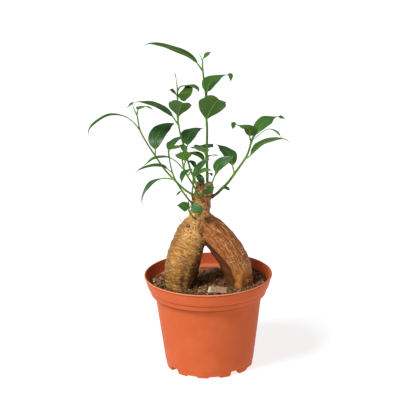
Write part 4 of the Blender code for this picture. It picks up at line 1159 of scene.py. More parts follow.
@dataclass(frozen=True)
class Pot:
    """The thin-walled nursery pot, with a folded band under its rim and a ring of feet.

    Attributes whose names end in drop are lengths below the rim's top; most others are radii.
    """

    height: float = 81.0
    rim: float = 54.0
    wall: float = 1.5
    lip_drop: float = 1.3
    lip: float = 0.55
    band_drop: float = 8.8
    band: float = 51.6
    crease_drop: float = 11.6
    crease: float = 50.0
    skirt_drop: float = 16.2
    skirt: float = 48.6
    ledge_drop: float = 9.3
    neck: float = 45.3
    foot: float = 37.0
    foot_width: float = 5.0
    floor_top: float = 3.8
    floor_bottom: float = 2.3
    feet: int = 12
    feet_turn: float = 6.0
    gap: Pair = (10.4, 8.4)
    gap_length: float = 12.0
    gap_height: float = 1.5
    drain_gap_height: float = 4.3
    drain_radius: float = 4.0
    drain_ring: float = 17.0
    sides: int = 176
    soil_line: Pair = (71.5, 70.0)
    band_part: Pair = (60.0, 62.0)
    facing_down: Pair = (0.55, 0.75)
    lip_shade: float = 0.8
    fold_shade: float = 0.7
    ledge_highlight: float = 0.6

    def wall_inside(self, height: float) -> float:
        """Give the radius of the inside wall at a height below the ledge."""
        low = self.foot - self.wall + 0.3
        start = self.floor_top + 1.6
        share = (height - start) / (self.height - self.ledge_drop - start)
        return low + (self.neck - self.wall - low) * share

    def profile(self) -> Array:
        """Give radius and height along the pot's section, out from the floor, up, over and back inside."""
        top, foot, neck, crease = self.height, self.foot, self.neck, self.crease
        ledge, skirt, inner = top - self.ledge_drop, top - self.skirt_drop, neck - self.wall
        start, under, fold = self.floor_top + 1.6, ledge - self.wall, top - self.crease_drop
        lip, slim, low = top - self.lip_drop, self.rim - self.lip, self.wall_inside(start)
        wall_out = ((foot - self.foot_width - 1.0, self.floor_bottom), (foot - self.foot_width, 0.0),
                    (foot - 0.5, 0.0), (foot + 0.2, 5.4), (foot + 0.55, 5.8), (neck - 0.52, skirt - 3.0),
                    (neck, skirt + 1.0), (neck + 0.2, under))
        band_out = ((self.skirt - 1.1, under - 0.6), (self.skirt - self.wall, skirt), (self.skirt, skirt),
                    (crease - 0.53, fold - 0.9), (crease - 0.35, fold), (crease + 0.35, fold + 0.1),
                    (self.band, top - self.band_drop), (slim - 0.24, lip - 1.1), (slim, lip - 0.15))
        rim = self.rim
        over = ((rim, lip), (rim - 0.1, top - 0.1), (rim - 1.5, top), (rim - 1.9, top - 1.4))
        back = ((crease - 0.6, ledge), (inner, ledge), (low, start), (low - 1.5, self.floor_top))
        return rounded((*wall_out, *band_out, *over, *back), 0.6)

    def gap_cutter(self, height: float, degrees: float) -> Piece:
        """Make the round-cornered block that cuts one gap between two feet."""
        low, high = self.gap[0] / 2.0, self.gap[1] / 2.0
        left = ((-low, -1.0), (-low, 0.0), (-high, height))
        outline = rounded((*left, (high, height), (low, 0.0), (low, -1.0)), 1.0)
        rings = np.stack([outline[:, 0], np.zeros(len(outline)), outline[:, 1]], -1)
        middle = -self.foot + 3.0
        centers = np.array([(0.0, middle + way * self.gap_length / 2.0, 0.0) for way in (-1.0, 1.0)])
        points, faces = ringed(centers, np.stack([rings, rings]))
        return raw_solid("gap", turned(points, degrees), faces)

    def build(self, finish: Material) -> Piece:
        """Build the pot."""
        profile = self.profile()
        turns = np.linspace(0.0, 2.0 * math.pi, self.sides, endpoint=False)[None, :]
        radii = profile[:, 0][:, None]
        rings = np.stack([radii * np.sin(turns), -radii * np.cos(turns), np.zeros_like(radii * turns)], -1)
        centers = np.stack([np.zeros(len(profile)), np.zeros(len(profile)), profile[:, 1]], -1)
        points, faces = ringed(centers, rings)
        piece = raw_solid("pot_shell", points, faces)
        cutters = [self.gap_cutter(self.drain_gap_height if i % 3 == 1 else self.gap_height,
                                   self.feet_turn + 360.0 * i / self.feet) for i in range(self.feet)]
        holes = [(0.0, 0.0)] + [(self.drain_ring * math.sin(a), self.drain_ring * math.cos(a))
                                for a in np.arange(0.5, 4.0) * math.pi / 2.0]
        for x, y in holes:
            ends = np.array([(x, y, self.floor_bottom - 2.0), (x, y, self.floor_top + 2.0)])
            cutters.append(raw_solid("drain", *tube(ends, np.full(2, self.drain_radius), 32)))
        cut(piece, cutters)
        mesh = piece.data
        mesh.materials.append(finish)
        mesh.shade_smooth()
        mesh.set_sharp_from_angle(angle=math.radians(32.0))
        self.mark_dust_shade_and_highlight(mesh)
        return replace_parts(settle(piece), "pot")

    def mark_dust_shade_and_highlight(self, mesh: bpy.types.Mesh) -> None:
        """Store where the shell is dusty, where painted shade falls in its folds and where a painted
        highlight lies along its rim and ledge.
        """
        places, ways = read_mesh(mesh)
        outward = unit(places * (1.0, 1.0, 0.0))
        inside = ease(0.2, -0.2, (ways * outward).sum(axis=1))
        radius, z = np.hypot(*places.T[:2]), places[:, 2]
        write_mark(mesh, "dusty", inside * ease(*self.soil_line, z))
        drop = self.height - z
        # Painted shade: darker under the lip, in the crease, just under the skirt and on faces turned down.
        lip = ease(self.lip_drop + 1.0, self.lip_drop + 0.3, drop)
        lip = lip * ease(self.rim - 0.3, self.rim - 0.45, radius)
        fold = ease(self.crease_drop + 0.8, self.crease_drop + 0.1, drop)
        fold = fold * (radius < self.crease - 0.2) * (drop > self.crease_drop - 0.1)
        band = ease(self.skirt_drop + 2.9, self.skirt_drop, drop) * (radius < self.neck + 0.6)
        down = ease(*self.facing_down, -ways[:, 2]) * ease(*self.band_part, z)
        lines = np.max([self.lip_shade * lip, self.fold_shade * fold, band, down], axis=0)
        write_mark(mesh, "fold", (1.0 - inside) * lines)
        # Painted highlight: a light line round the rim's top edge and round the inside ledge.
        rim = ease(self.height - 0.9, self.height - 0.2, z) * ease(self.rim - 1.0, self.rim - 0.3, radius)
        ledge = self.ledge_highlight * inside * bell(z - self.height + self.ledge_drop, 0.3)
        write_mark(mesh, "edge", rim + ledge)


def read_mesh(mesh: bpy.types.Mesh) -> tuple[Array, Array]:
    """Read a mesh's points in millimetres from the pot's axis, and the ways that they face."""
    places = np.empty(len(mesh.vertices) * 3)
    ways = np.empty(len(mesh.vertices) * 3)
    mesh.vertices.foreach_get("co", places)
    mesh.vertex_normals.foreach_get("vector", ways)
    return places.reshape(-1, 3) / MM - AXIS, ways.reshape(-1, 3)


# Soil and what lies on it


def ball(level: int) -> tuple[Array, Array]:
    """Give the points and faces of a round ball of triangles."""
    work = bmesh.new()
    bmesh.ops.create_icosphere(work, subdivisions=level, radius=1.0)
    points = np.array([vertex.co[:] for vertex in work.verts])
    faces = np.array([[vertex.index for vertex in face.verts] for face in work.faces])
    work.free()
    return points, faces


def spins(luck: Luck, count: int) -> Array:
    """Draw random turns as matrices."""
    first = unit(luck.normal(size=(count, 3)))
    second = luck.normal(size=(count, 3))
    second = unit(second - first * (second * first).sum(axis=1, keepdims=True))
    return np.stack([first, second, np.cross(first, second)], 1)


def mound(x: Array, y: Array, middle_x: float, middle_y: float, area: float) -> Array:
    """Give 1 at a middle, falling off all round it over the root of area."""
    return np.exp(-((x - middle_x) ** 2 + (y - middle_y) ** 2) / area)


def half_sizes(luck: Luck, count: int, size: float, spread: Pair,
               shape: Pair) -> Array:
    """Draw grains' three half sizes: shares of size within spread, each stretched within shape."""
    return size * luck.uniform(*spread, (count, 1)) * luck.uniform(*shape, (count, 3))


def scatter_grains(form: Form, places: Array, sizes: Array, luck: Luck,
                   level: int, rough: float, **marks: float) -> None:
    """Add rough grains.

    Args:
        form: The piece that takes them.
        places: Their middles.
        sizes: Their three half sizes.
        luck: Seeded draws.
        level: Fineness of a grain.
        rough: How uneven a grain is.
        **marks: Surface values.
    """
    round_points, faces = ball(level)
    for place, size, spin in zip(places, sizes, spins(luck, len(places))):
        offset = luck.uniform(0.0, 90.0, 3)
        coarse, fine = soft_noise(round_points * 1.6 + offset, 5), soft_noise(round_points * 3.4 + offset, 6)
        bumps = 1.0 + rough * (coarse + 0.6 * fine)
        form.add(place + (round_points * bumps[:, None] * size) @ spin, [faces], 0, **marks)


@dataclass(frozen=True)
class Soil:
    """Potting soil that fills the pot, with lumps, crumbs, fibres, white grains and moss on it.

    Attributes:
        inner, back: Radius and height of the soil's edge at the back.
        outer, side: The same elsewhere.
        chip: Middle, half width, half depth and height of the flat place under the husk.
        swells: Place, height and width of each mound or hollow.
        painted_light_spots: Place, strength and area of each patch of painted light.
        crumbs: Count, half size and fineness of each kind.
        tufts: Place and spread of each.
    """

    top: float = 72.8
    slope: float = 0.03
    inner: float = 43.0
    outer: float = 48.3
    back: float = 67.7
    side: float = 74.4
    bottom: float = 4.1
    heel: float = 5.4
    gap: float = 0.45
    sectors: int = 260
    rows: int = 84
    chip: tuple[float, float, float, float, float] = (8.3, -21.0, 10.5, 7.0, 73.4)
    swells: tuple[tuple[float, float, float, float], ...] = (
        (5, 26, 2, 8), (-9, 24, 1.1, 6), (9.5, 2, 1.9, 5.5), (-0.2, 12, -2.4, 4),
        (18, 22, 1.2, 5), (36, 8, 1.6, 7), (-38, 2, 0.8, 6), (0, -8, -0.8, 5),
    )
    painted_light_spots: tuple[tuple[float, float, float, float], ...] = (
        (3, 26, 1, 130), (10, 2, 0.5, 40),
    )
    crumbs: tuple[tuple[int, float, int], ...] = ((1300, 0.6, 2), (300, 1.15, 2), (80, 1.8, 3))
    crumb_tones: Place = (0.0, 0.35, 1.3)
    # Painted light on the crumbs behind the legs: middle, half width, front edge and how much paler.
    painted_light_middle: float = 6.0
    painted_light_half: float = 15.0
    painted_light_front: float = 2.0
    painted_light_boost: float = 0.9
    palest: float = 1.6
    white: tuple[Pair, ...] = (
        (-46, 3.3), (-42.5, -1.8), (-38.5, 7.9), (-9.6, -3.4), (7.6, 0.8), (15.5, -20.6), (29.8, -17.4),
        (-41, 3), (5, 21), (2, -23.5),
    )
    tufts: tuple[Place, ...] = (
        (-33.4, -16.1, 2.2), (-36.7, -7.7, 1.8), (-15, -23.7, 2), (-4.5, -13.4, 2.2), (17.8, -18.5, 2),
        (13.6, 20.5, 1.6), (4, -27.5, 2.2), (19.5, -23.5, 1.8), (30, -26, 1.8), (-20, 26, 2),
        (28, 22, 1.6), (-34, 20, 1.8),
    )
    blades: int = 46

    def level(self, x: Array, y: Array) -> Array:
        """Give the height of the soil away from the pot's wall."""
        flat = np.stack([x, y, np.zeros_like(x)], -1)
        height = self.top + self.slope * x - 0.01 * y
        for swell_x, swell_y, swell, spread in self.swells:
            height = height + swell * mound(x, y, swell_x, swell_y, spread**2)
        height = height + 1.0 * rough_noise(flat, 5.0, 2, 11) + 0.9 * rough_noise(flat, 2.1, 2, 12)
        chip_x, chip_y, half_x, half_y, bed = self.chip
        near = np.exp(-(((x - chip_x) / half_x) ** 6) - ((y - chip_y) / half_y) ** 6)
        return height + (np.minimum(height, bed) - height) * near

    def height(self, x: Array, y: Array) -> Array:
        """Give the height of the soil's top anywhere in the pot."""
        radius = np.hypot(x, y)
        rise, _ = self.sector(np.arctan2(x, y))
        side = self.side + self.slope * self.outer * x / np.maximum(radius, 1.0)
        side = side - np.maximum(-y, 0.0) / self.outer
        wall = self.back + (side - self.back) * rise
        share = ease(30.0, 42.0, radius)
        inside = self.level(x, y)
        grit = 0.6 * rough_noise(np.stack([x, y, np.zeros_like(x)], -1), 2.2, 2, 13)
        return inside + (wall + grit - inside) * share * (1.0 - 0.25 * rise)

    def sector(self, turn: Array) -> tuple[Array, Array]:
        """Give how high and how far out the soil lies, by its turn from the back."""
        from_back = np.degrees(np.abs(np.arctan2(np.sin(turn), np.cos(turn))))
        return ease(30.0, 45.0, from_back), ease(52.0, 68.0, from_back)

    def bed(self, pot: Pot, finish: Material) -> Piece:
        """Build the soil as one closed body."""
        turn = np.linspace(0.0, 2.0 * math.pi, self.sectors, endpoint=False)
        rise, spread = self.sector(turn)
        edge = self.inner + (self.outer - self.inner) * spread
        rings = []
        for share in np.linspace(1.0 / self.rows, 1.0, self.rows):
            x, y = edge * share * np.sin(turn), edge * share * np.cos(turn)
            rings.append(np.stack([x, y, self.height(x, y)], -1))
        ledge = pot.height - pot.ledge_drop + 0.3
        low = self.back - 1.4 + (ledge - self.back + 1.4) * rise
        under = self.back - 4.0
        heel = pot.wall_inside(self.heel)
        below = ((edge, low + 0.3), (self.inner - 0.2 * (1.0 - spread), low - 0.6 * (1.0 - spread)),
                 (pot.wall_inside(under) - self.gap, under), (heel - self.gap, self.heel),
                 (heel - 3.0, self.bottom))
        for radius, height in below:
            heights = np.broadcast_to(height, turn.shape)
            rings.append(np.stack([radius * np.sin(turn), radius * np.cos(turn), heights], -1))
        rings = np.array(rings)
        centers = np.zeros((len(rings), 3))
        centers[0, 2] = self.height(np.zeros(1), np.zeros(1))[0]
        centers[-1, 2] = self.bottom
        centers[1:-1, 2] = rings[1:-1, 0, 2]
        points, faces = ringed(centers, rings - centers[:, None])
        form = Form()
        x, y = points[:, 0], points[:, 1]
        # Painted light: paler soil between and behind the legs.
        pale = sum(share * mound(x, y, at_x, at_y, area) for at_x, at_y, share, area in self.painted_light_spots)
        form.add(points, faces, 0, pale=pale)
        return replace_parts(form.make("soil_bed", [finish]), "soil")

    def spots(self, luck: Luck, count: int, skin: BVHTree, gap: float = 0.4) -> Array:
        """Draw places on the soil, clear of the trunk.

        Args:
            luck: Seeded draws.
            count: How many places to draw.
            skin: The trunk's surface.
            gap: Least distance to the trunk.

        Returns:
            The places that are clear.
        """
        turn = luck.uniform(-math.pi, math.pi, count)
        _, spread = self.sector(turn)
        reach = self.inner + (self.outer - self.inner) * spread - 1.0
        radius = reach * np.sqrt(luck.uniform(0.0, 1.0, count))
        x, y = radius * np.sin(turn), radius * np.cos(turn)
        places = np.stack([x, y, self.height(x, y)], -1)
        return np.array([place for place in places if depth_in(skin, place) < -gap])

    def litter(self, skin: BVHTree, finishes: dict[str, Material]) -> None:
        """Add crumbs, fibres, white grains and moss."""
        luck = np.random.default_rng(21)
        self.grit(luck, skin, finishes["soil"])
        self.strands(luck, skin, finishes["fibre"])
        self.white_grains(luck, skin, finishes["perlite"])
        self.moss(luck, skin, finishes["moss"])

    def grit(self, luck: Luck, skin: BVHTree, finish: Material) -> None:
        """Add crumbs of soil in three tones, paler behind the legs as painted light."""
        form = Form()
        for count, size, level in self.crumbs:
            places = self.spots(luck, count, skin)
            sizes = half_sizes(luck, len(places), size, (0.6, 1.4), (0.55, 1.25))
            places[:, 2] += 0.15 * sizes.mean(axis=1)
            # Painted light: crumbs behind the legs are made paler; the three crumb tones are their own.
            in_painted_light = (np.abs(places[:, 0] - self.painted_light_middle) < self.painted_light_half) & (places[:, 1] > self.painted_light_front)
            for part, tone in enumerate(self.crumb_tones):
                for chosen, more in ((in_painted_light, self.painted_light_boost), (~in_painted_light, 0.0)):
                    scatter_grains(form, places[chosen][part::3], sizes[chosen][part::3], luck, level, 0.3,
                                   pale=min(tone + more, self.palest))
        form.make("soil_crumbs", [finish])

    def white_grains(self, luck: Luck, skin: BVHTree, finish: Material) -> None:
        """Add white grains: large ones at their places, and small ones anywhere."""
        form = Form()
        flat = np.vstack([self.white, self.spots(luck, 30, skin)[:, :2]])
        places = np.column_stack([flat, self.height(flat[:, 0], flat[:, 1]) + 0.35])
        sizes = half_sizes(luck, len(places), 1.0, (0.3, 0.62), (0.7, 1.25))
        sizes[:len(self.white)] *= 1.7
        scatter_grains(form, places, sizes, luck, 3, 0.22)
        form.make("perlite", [finish])

    def strands(self, luck: Luck, skin: BVHTree, finish: Material) -> None:
        """Add bits of root and husk fibre that lie on the soil."""
        form = Form()
        for start in self.spots(luck, 150, skin, 2.5):
            length = luck.uniform(2.5, 7.0)
            way = luck.uniform(0.0, 2.0 * math.pi)
            bend = luck.uniform(-0.9, 0.9)
            steps = np.linspace(-0.5, 0.5, 8)
            x = start[0] + length * steps * math.cos(way) - bend * length * steps**2 * math.sin(way)
            y = start[1] + length * steps * math.sin(way) + bend * length * steps**2 * math.cos(way)
            if np.hypot(x, y).max() > self.inner - 1.0:
                continue
            z = self.height(x, y).max() * 0.4 + self.height(x, y) * 0.6 + 0.1
            if min(-depth_in(skin, point) for point in zip(x, y, z)) < 0.3:
                continue
            radii = luck.uniform(0.1, 0.24) * np.sqrt(1.02 - (2.0 * steps) ** 2)
            points, faces = tube(np.stack([x, y, z], -1), radii, 6)
            form.add(points, faces)
        form.make("soil_fibres", [finish])

    def moss(self, luck: Luck, skin: BVHTree, finish: Material) -> None:
        """Add small tufts of moss."""
        form = Form()
        for tuft_x, tuft_y, spread in self.tufts:
            for _ in range(self.blades):
                x, y = (tuft_x, tuft_y) + luck.normal(size=2) * spread * 0.55
                place = np.array((x, y, self.height(np.array([x]), np.array([y]))[0]))
                if depth_in(skin, place) > -0.3:
                    continue
                lean = luck.normal(size=2) * 0.45
                size = luck.uniform(0.7, 1.7)
                way = unit(np.array((lean[0], lean[1], 1.0)))
                line = place + way * size * np.array((-0.3, 0.35, 0.8, 1.0))[:, None]
                line[2:, :2] += lean * 0.15
                points, faces = tube(line, np.array((0.16, 0.22, 0.13, 0.02)), 5)
                form.add(points, faces)
        form.make("moss_tufts", [finish])


def depth_in(skin: BVHTree, place: Sequence[float]) -> float:
    """Give how deep a place lies inside a closed surface; outside it the depth is negative."""
    spot, way, _, distance = skin.find_nearest(Vector(place))
    return distance if (Vector(place) - spot).dot(way) < 0.0 else -distance


@dataclass(frozen=True)
class Husk:
    """The flat chip of bark on the soil at the front: longer, wider and thicker than its solid by shares."""

    turn: float = -7.0
    longer: float = 1.25
    wider: float = 1.85
    forward: float = 3.7
    thicker: float = 1.4
    back_rise: float = 0.45
    columns: int = 64
    rows: int = 30

    def build(self, finish: Material) -> Piece:
        """Build the chip in the space of its solid."""
        low, high = (np.array(corner[:]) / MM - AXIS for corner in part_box("husk"))
        middle, wide = (low + high) / 2.0, high - low
        cos, sin = math.cos(math.radians(self.turn)), abs(math.sin(math.radians(self.turn)))
        length = (wide[0] * cos - wide[1] * sin) / (cos * cos - sin * sin)
        width = (wide[1] * cos - wide[0] * sin) / (cos * cos - sin * sin)
        u, v = np.meshgrid(np.linspace(-1.0, 1.0, self.columns), np.linspace(-1.0, 1.0, self.rows))
        ends, edges = (np.clip(np.abs(t) ** power, 0.0, 1.0) for t, power in ((u, 14), (v, 8)))
        round_off = (1.0 - ends) ** 0.5 * (1.0 - edges) ** 0.5
        flat = np.stack([u, v, np.zeros_like(u)], -1).reshape(-1, 3)
        ragged_x = 0.05 * rough_noise(flat, (9.0, 0.22, 1.0), 3, 31).reshape(u.shape) * np.abs(u) ** 3
        ragged_y = 0.1 * rough_noise(flat, (0.16, 9.0, 1.0), 3, 32).reshape(u.shape) * np.abs(v) ** 3
        x = self.longer * length / 2.0 * (u - np.abs(ragged_x) * np.sign(u))
        y = self.wider * width / 2.0 * (v - np.abs(ragged_y) * np.sign(v)) - self.forward
        grain = rough_noise(flat, (0.55, 0.09, 1.0), 3, 33).reshape(u.shape)
        pits = rough_noise(flat, (0.09, 0.16, 1.0), 2, 34).reshape(u.shape)
        warp = 0.2 * np.cos(2.2 * u + 0.4) - 0.12
        thick = wide[2] / 2.0 * self.thicker * round_off
        top = warp + self.back_rise * (1.0 + v) * round_off + thick * (1.0 + 0.2 * grain + 0.16 * pits)
        base = warp - thick * (1.0 + 0.1 * grain)
        sheets = [np.stack([x, y, z], -1).reshape(-1, 3) for z in (top, base)]
        form = Form()
        points = turned(np.vstack(sheets), self.turn) + middle
        pale = np.tile(ease(-0.62, -0.82, u.reshape(-1)), 2)
        form.add(points, sheet_faces(self.rows, self.columns), 0, pale=pale)
        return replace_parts(form.make("husk_chip", [finish]), "husk")


# Trunk


class Side(Enum):
    """Which part of the trunk a limb belongs to."""

    LEFT = "left"
    RIGHT = "right"
    NECK = "neck"


@dataclass(frozen=True)
class Limb:
    """One round limb: the places along its middle with the radius at each."""

    side: Side
    rings: tuple[tuple[Place, float], ...]

    def run(self) -> tuple[Run, list[float], list[float]]:
        """Give the curve along the middle, its lengths at the rings, and the radii there."""
        run = Run([place for place, _ in self.rings])
        return run, [run.knot(place) for place, _ in self.rings], [radius for _, radius in self.rings]

    def coarse(self) -> Shape:
        """Give the limb's plain tube."""
        run, knots, radii = self.run()
        stations = np.linspace(0.0, run.lengths[-1], 5 * len(self.rings))
        middle, _ = run.at(stations)
        return tube(middle, np.interp(stations, knots, radii), 28)

    def grown(self, places: Array) -> tuple[Array, Array]:
        """Measure places by the limb's own growth.

        Args:
            places: Places in millimetres.

        Returns:
            Each place's offset from the middle in two directions with its length along the
            limb, and its distance from the limb's surface.
        """
        run, knots, radii = self.run()
        stations = np.linspace(0.0, run.lengths[-1], 48)
        middle, ways = run.at(stations)
        across = carry_sides(ways, (0.0, 1.0, 0.03))
        nearest = np.argmin(((places[:, None] - middle[None]) ** 2).sum(axis=2), axis=1)
        offset = places - middle[nearest]
        along = (offset * ways[nearest]).sum(axis=1)
        u = (offset * across[nearest]).sum(axis=1)
        v = (offset * np.cross(ways, across)[nearest]).sum(axis=1)
        t = stations[nearest] + along
        beyond = np.maximum(np.abs(along) - (stations[1] - stations[0]), 0.0)
        return np.stack([u, v, t], -1), np.hypot(np.hypot(u, v), beyond) - np.interp(t, knots, radii)


def near_line(places: Array, line: Sequence[Place]) -> Array:
    """Give the distance from places to a rounded line."""
    points = Run(line).line
    return np.sqrt(((places[:, None] - points[None]) ** 2).sum(axis=2)).min(axis=1)


@dataclass(frozen=True)
class Trunk:
    """The swollen forked trunk: limbs grown into one skin, wrinkled and marked.

    Attributes:
        meeting: Over what distance neighbouring limbs' patterns blend.
        patterns: Sizes of the limbs' rings, fibres and bulges, with layers and a first seed.
        limbs: Its limbs; the second and third are the legs, the next two lie behind them.
        fork: Slope of the line above which the bark is the neck's, and the slope's length.
        soil_line: Height under which the bark has no marks.
    """

    voxel: float = 0.65
    passes: int = 32
    meeting: float = 0.6
    patterns: tuple[tuple[Place, int, int], ...] = (
        ((7.0, 7.0, 1.7), 3, 40), ((2.0, 2.0, 13.0), 3, 60), ((4.2, 4.2, 38.0), 1, 80),
    )
    limbs: tuple[Limb, ...] = (
        Limb(Side.NECK, (
            ((-6, -1, 122), 10), ((-6, -0.5, 130), 8.6), ((-5.8, 0, 137), 8.2), ((-5.1, 0, 143), 8.4),
            ((-3.9, 0, 149), 7.5), ((-2.4, 0, 154), 6.6),
        )),
        Limb(Side.LEFT, (
            ((-6, -1, 131), 8.6), ((-8.5, -2.5, 125.5), 11), ((-13, -4, 117), 13.2),
            ((-17.5, -5.5, 107), 14), ((-21.6, -7, 96), 13.2), ((-24.4, -8, 84), 11.8),
            ((-25.2, -8, 72), 11), ((-25.4, -8, 61), 9),
        )),
        Limb(Side.RIGHT, (
            ((-5.5, -1, 131), 8.4), ((-1.5, -2.5, 125), 10.4), ((6, -4, 117.5), 12),
            ((13.2, -5, 108.5), 12.6), ((19.6, -6, 98.5), 12.6), ((24.2, -6.5, 87), 12.4),
            ((26.2, -7, 75), 11.8), ((26.8, -7, 62), 9.6),
        )),
        Limb(Side.LEFT, (
            ((-9.3, 0, 117), 8.6), ((-12.1, 2, 100), 8), ((-14.8, 3, 86), 7.4), ((-16, 3.5, 73), 6.8),
            ((-16.4, 3.5, 62), 5.4),
        )),
        Limb(Side.RIGHT, (
            ((4, 1, 116), 8.6), ((10.5, 3, 101), 8.4), ((18.6, 4, 87), 7.6), ((22.6, 4, 74), 6.8),
            ((23.4, 4, 62), 5.4),
        )),
        Limb(Side.RIGHT, (
            ((27, -14.5, 88), 3.4), ((26.6, -17.4, 80), 3.4), ((26.4, -18.2, 72), 3.4),
            ((26.4, -18.2, 63), 2.6),
        )),
        Limb(Side.NECK, (
            ((-5.4, -1, 150), 5.4), ((-5.9, -1.2, 155.5), 4.2), ((-5.9, -1.2, 159.5), 3.7),
            ((-5.8, -1, 162.3), 2.9),
        )),
        Limb(Side.NECK, (
            ((-0.5, 0, 150), 5.6), ((1.3, 0.5, 154.5), 4.4), ((1.8, 0.8, 158.5), 3.8),
            ((1.7, 0.8, 161), 3.1),
        )),
    )
    seam: tuple[Place, ...] = (
        (2.3, -6.5, 133.7), (-2.8, -9.6, 132.2), (-7, -12.9, 127.3), (-6.8, -13.8, 123.5),
        (-4.6, -13.8, 118.6),
    )
    ridge: tuple[Place, ...] = (
        (-6.6, -13.8, 125.4), (-3.8, -13.5, 118.2), (1.6, -13.7, 111.6), (8.7, -16.1, 104.7),
        (13.6, -16.7, 99), (18, -17.9, 93.4), (20.7, -17.9, 86.3), (22.3, -18.3, 81.6),
    )
    strokes: tuple[Place, ...] = (
        (2, -9.5, 130), (5.5, -12.1, 126.8), (15.2, -15.3, 115.4), (23.4, -17.3, 101.9),
        (28.5, -17, 92),
    )
    knot: Place = (-15.5, -12.4, 127.2)
    scar: Place = (-23.6, -19.6, 82.3)
    slots: tuple[Place, ...] = (
        (4.1, -15.4, 118.7), (5.7, -15.5, 119.1), (7.7, -15, 120.3), (3, -15, 121.5),
    )
    hollow: Place = (-5.3, -4.4, 160.2)
    fork: Pair = (0.69, 1.21)
    soil_line: float = 72.0

    def skin(self) -> Piece:
        """Grow the limbs into one even skin."""
        form = Form()
        for limb in self.limbs:
            form.add(*limb.coarse())
        piece = put("trunk_bark", form.mesh("trunk_bark", ()))
        one = piece.modifiers.new("one skin", "REMESH")
        one.mode = "VOXEL"
        one.voxel_size = self.voxel * MM
        even = piece.modifiers.new("even", "SMOOTH")
        even.factor, even.iterations = 0.5, self.passes
        bake(piece)
        return piece

    def ripple(self, places: Array) -> Array:
        """Give the coarse relief that the solid has too."""
        x, y, z = places.T
        swell = 0.35 * np.sin(0.21 * x + 0.17 * z + 1.0) * np.sin(0.19 * y - 0.12 * z)
        rings = 0.16 * np.sin(0.9 * z + 0.35 * x + 1.4 * np.sin(0.12 * y + 0.1 * x))
        rough = np.clip((z - 122.0) / 12.0, 0.0, 1.0)
        knots = 0.45 * np.sin(0.62 * x + 0.9) * np.sin(0.55 * z) * np.cos(0.6 * y + 0.4)
        return swell * (1.0 - rough) + rings + knots * rough

    def aside(self, places: Array) -> Array:
        """Give how far places lie to the right of the right leg's front edge."""
        edge = np.array(self.ridge)[::-1]
        return 0.82 * (places[:, 0] - np.interp(places[:, 2], edge[:, 2], edge[:, 0]))

    def blend(self, places: Array) -> tuple[list[Array], list[Array]]:
        """Blend the limbs' own patterns where limbs meet.

        Args:
            places: The skin's points.

        Returns:
            How much of each place is the right leg's and the left one's, with its rings, fibres
            and bulges; and the places by each limb's own growth.
        """
        total = np.zeros(len(places))
        sums = [np.zeros(len(places)) for _ in range(2 + len(self.patterns))]
        growths = []
        for number, limb in enumerate(self.limbs):
            grown, off = limb.grown(places)
            growths.append(grown)
            weight = np.exp(-np.clip(off, -2.0, 12.0) / self.meeting)
            total += weight
            parts = [limb.side is Side.RIGHT, limb.side is Side.LEFT]
            for size, layers, seed in self.patterns:
                parts.append(rough_noise(grown, size, layers, seed + number))
            for values, part in zip(sums, parts):
                values += weight * part
        return [values / total for values in sums], growths

    def marks(self, places: Array, ways: Array) -> tuple[dict[str, Array], Array]:
        """Work out the bark's surface values and its fine relief.

        Args:
            places: The skin's points.
            ways: The ways that they face.

        Returns:
            The surface values by name, and the relief in millimetres.
        """
        x, y, z = places.T
        (right, left, rings, fibres, bulges), growths = self.blend(places)
        (top_x, _, top_z), (slope, length) = self.seam[0], self.fork
        above = ease(-0.8, 0.8, ((z - top_z) - slope * (x - top_x)) / length)
        edge = np.array(self.seam)[::-1]
        zone = ease(117.0, 119.5, z) * ease(-4.0, -8.0, y)
        right += zone * (ease(-0.5, 0.5, x - np.interp(z, edge[:, 2], edge[:, 0])) - right)
        right = right * (1.0 - above)
        wobble = z + 2.5 * rough_noise(places, 7.0, 2, 91)
        neck = np.clip(1.0 - right - left * ease(134.0, 126.0, z), 0.0, 1.0)
        shoulder = (1.0 - right) * ease(112.0, 122.0, wobble) * ease(150.0, 138.0, wobble + 1.6 * (x + 5.0))
        rough = rough_noise(places, 2.6, 3, 90) + 0.7 * rough_noise(places, 1.5, 2, 95)
        seam, ridge = near_line(places, self.seam), near_line(places, self.ridge)
        crater, scar = (np.linalg.norm(places - np.array(spot), axis=1) for spot in (self.knot, self.scar))
        hollow = np.linalg.norm((places - np.array(self.hollow)) * (1.0, 1.0, 0.7), axis=1)
        stub = ease(155.0, 157.0, z) * (x > -2.0) * ease(0.25, 0.55, ways[:, 2])
        # Painted shade on the right leg's underside, below its ridge.
        under = right * ease(0.4, -0.5, self.aside(places)) * ease(9.0, 3.0, y) * ease(126.0, 121.0, z)
        relief = self.ripple(places)
        relief += 0.12 * rings * (1.0 - neck) * (1.0 - 0.45 * right)
        relief += 0.16 * fibres * right + 0.42 * rough * np.maximum(neck, shoulder)
        relief += 1.8 * bulges * ease(108.0, 86.0, z) * (1.0 - right) + 0.2 * bulges * right
        relief += 0.8 * right * bell(ridge, 1.5) - 0.7 * under * bell(ridge - 3.6, 2.2)
        relief -= 0.75 * bell(seam, 1.0) * (1.0 - right * 0.4)
        relief += 0.55 * right * bell(seam - 2.4, 1.5)
        relief += 1.0 * bell(crater - 2.5, 0.8) - 1.5 * bell(crater, 1.5)
        relief -= 1.7 * bell(hollow, 1.5) * ease(0.3, 0.8, ways[:, 2])
        # Painted shade also on the left leg's side that faces the arch.
        under = np.maximum(under, 0.85 * left * ease(0.45, 0.85, ways[:, 0]) * ease(118.0, 108.0, z))
        # Painted shade in the seam's crease, darkest at its lower left, in the knot's pit and in the stub's
        # hollow; the scar is the bark's own dark mark.
        crease = ease(134.0, 126.0, z) * ease(2.0, -3.0, x)
        dark = np.max([(0.35 + 0.4 * crease) * bell(seam, 1.0), 0.9 * bell(crater, 1.4),
                       0.85 * bell(hollow, 1.2, 4), 0.8 * bell(scar, 1.0)], axis=0)
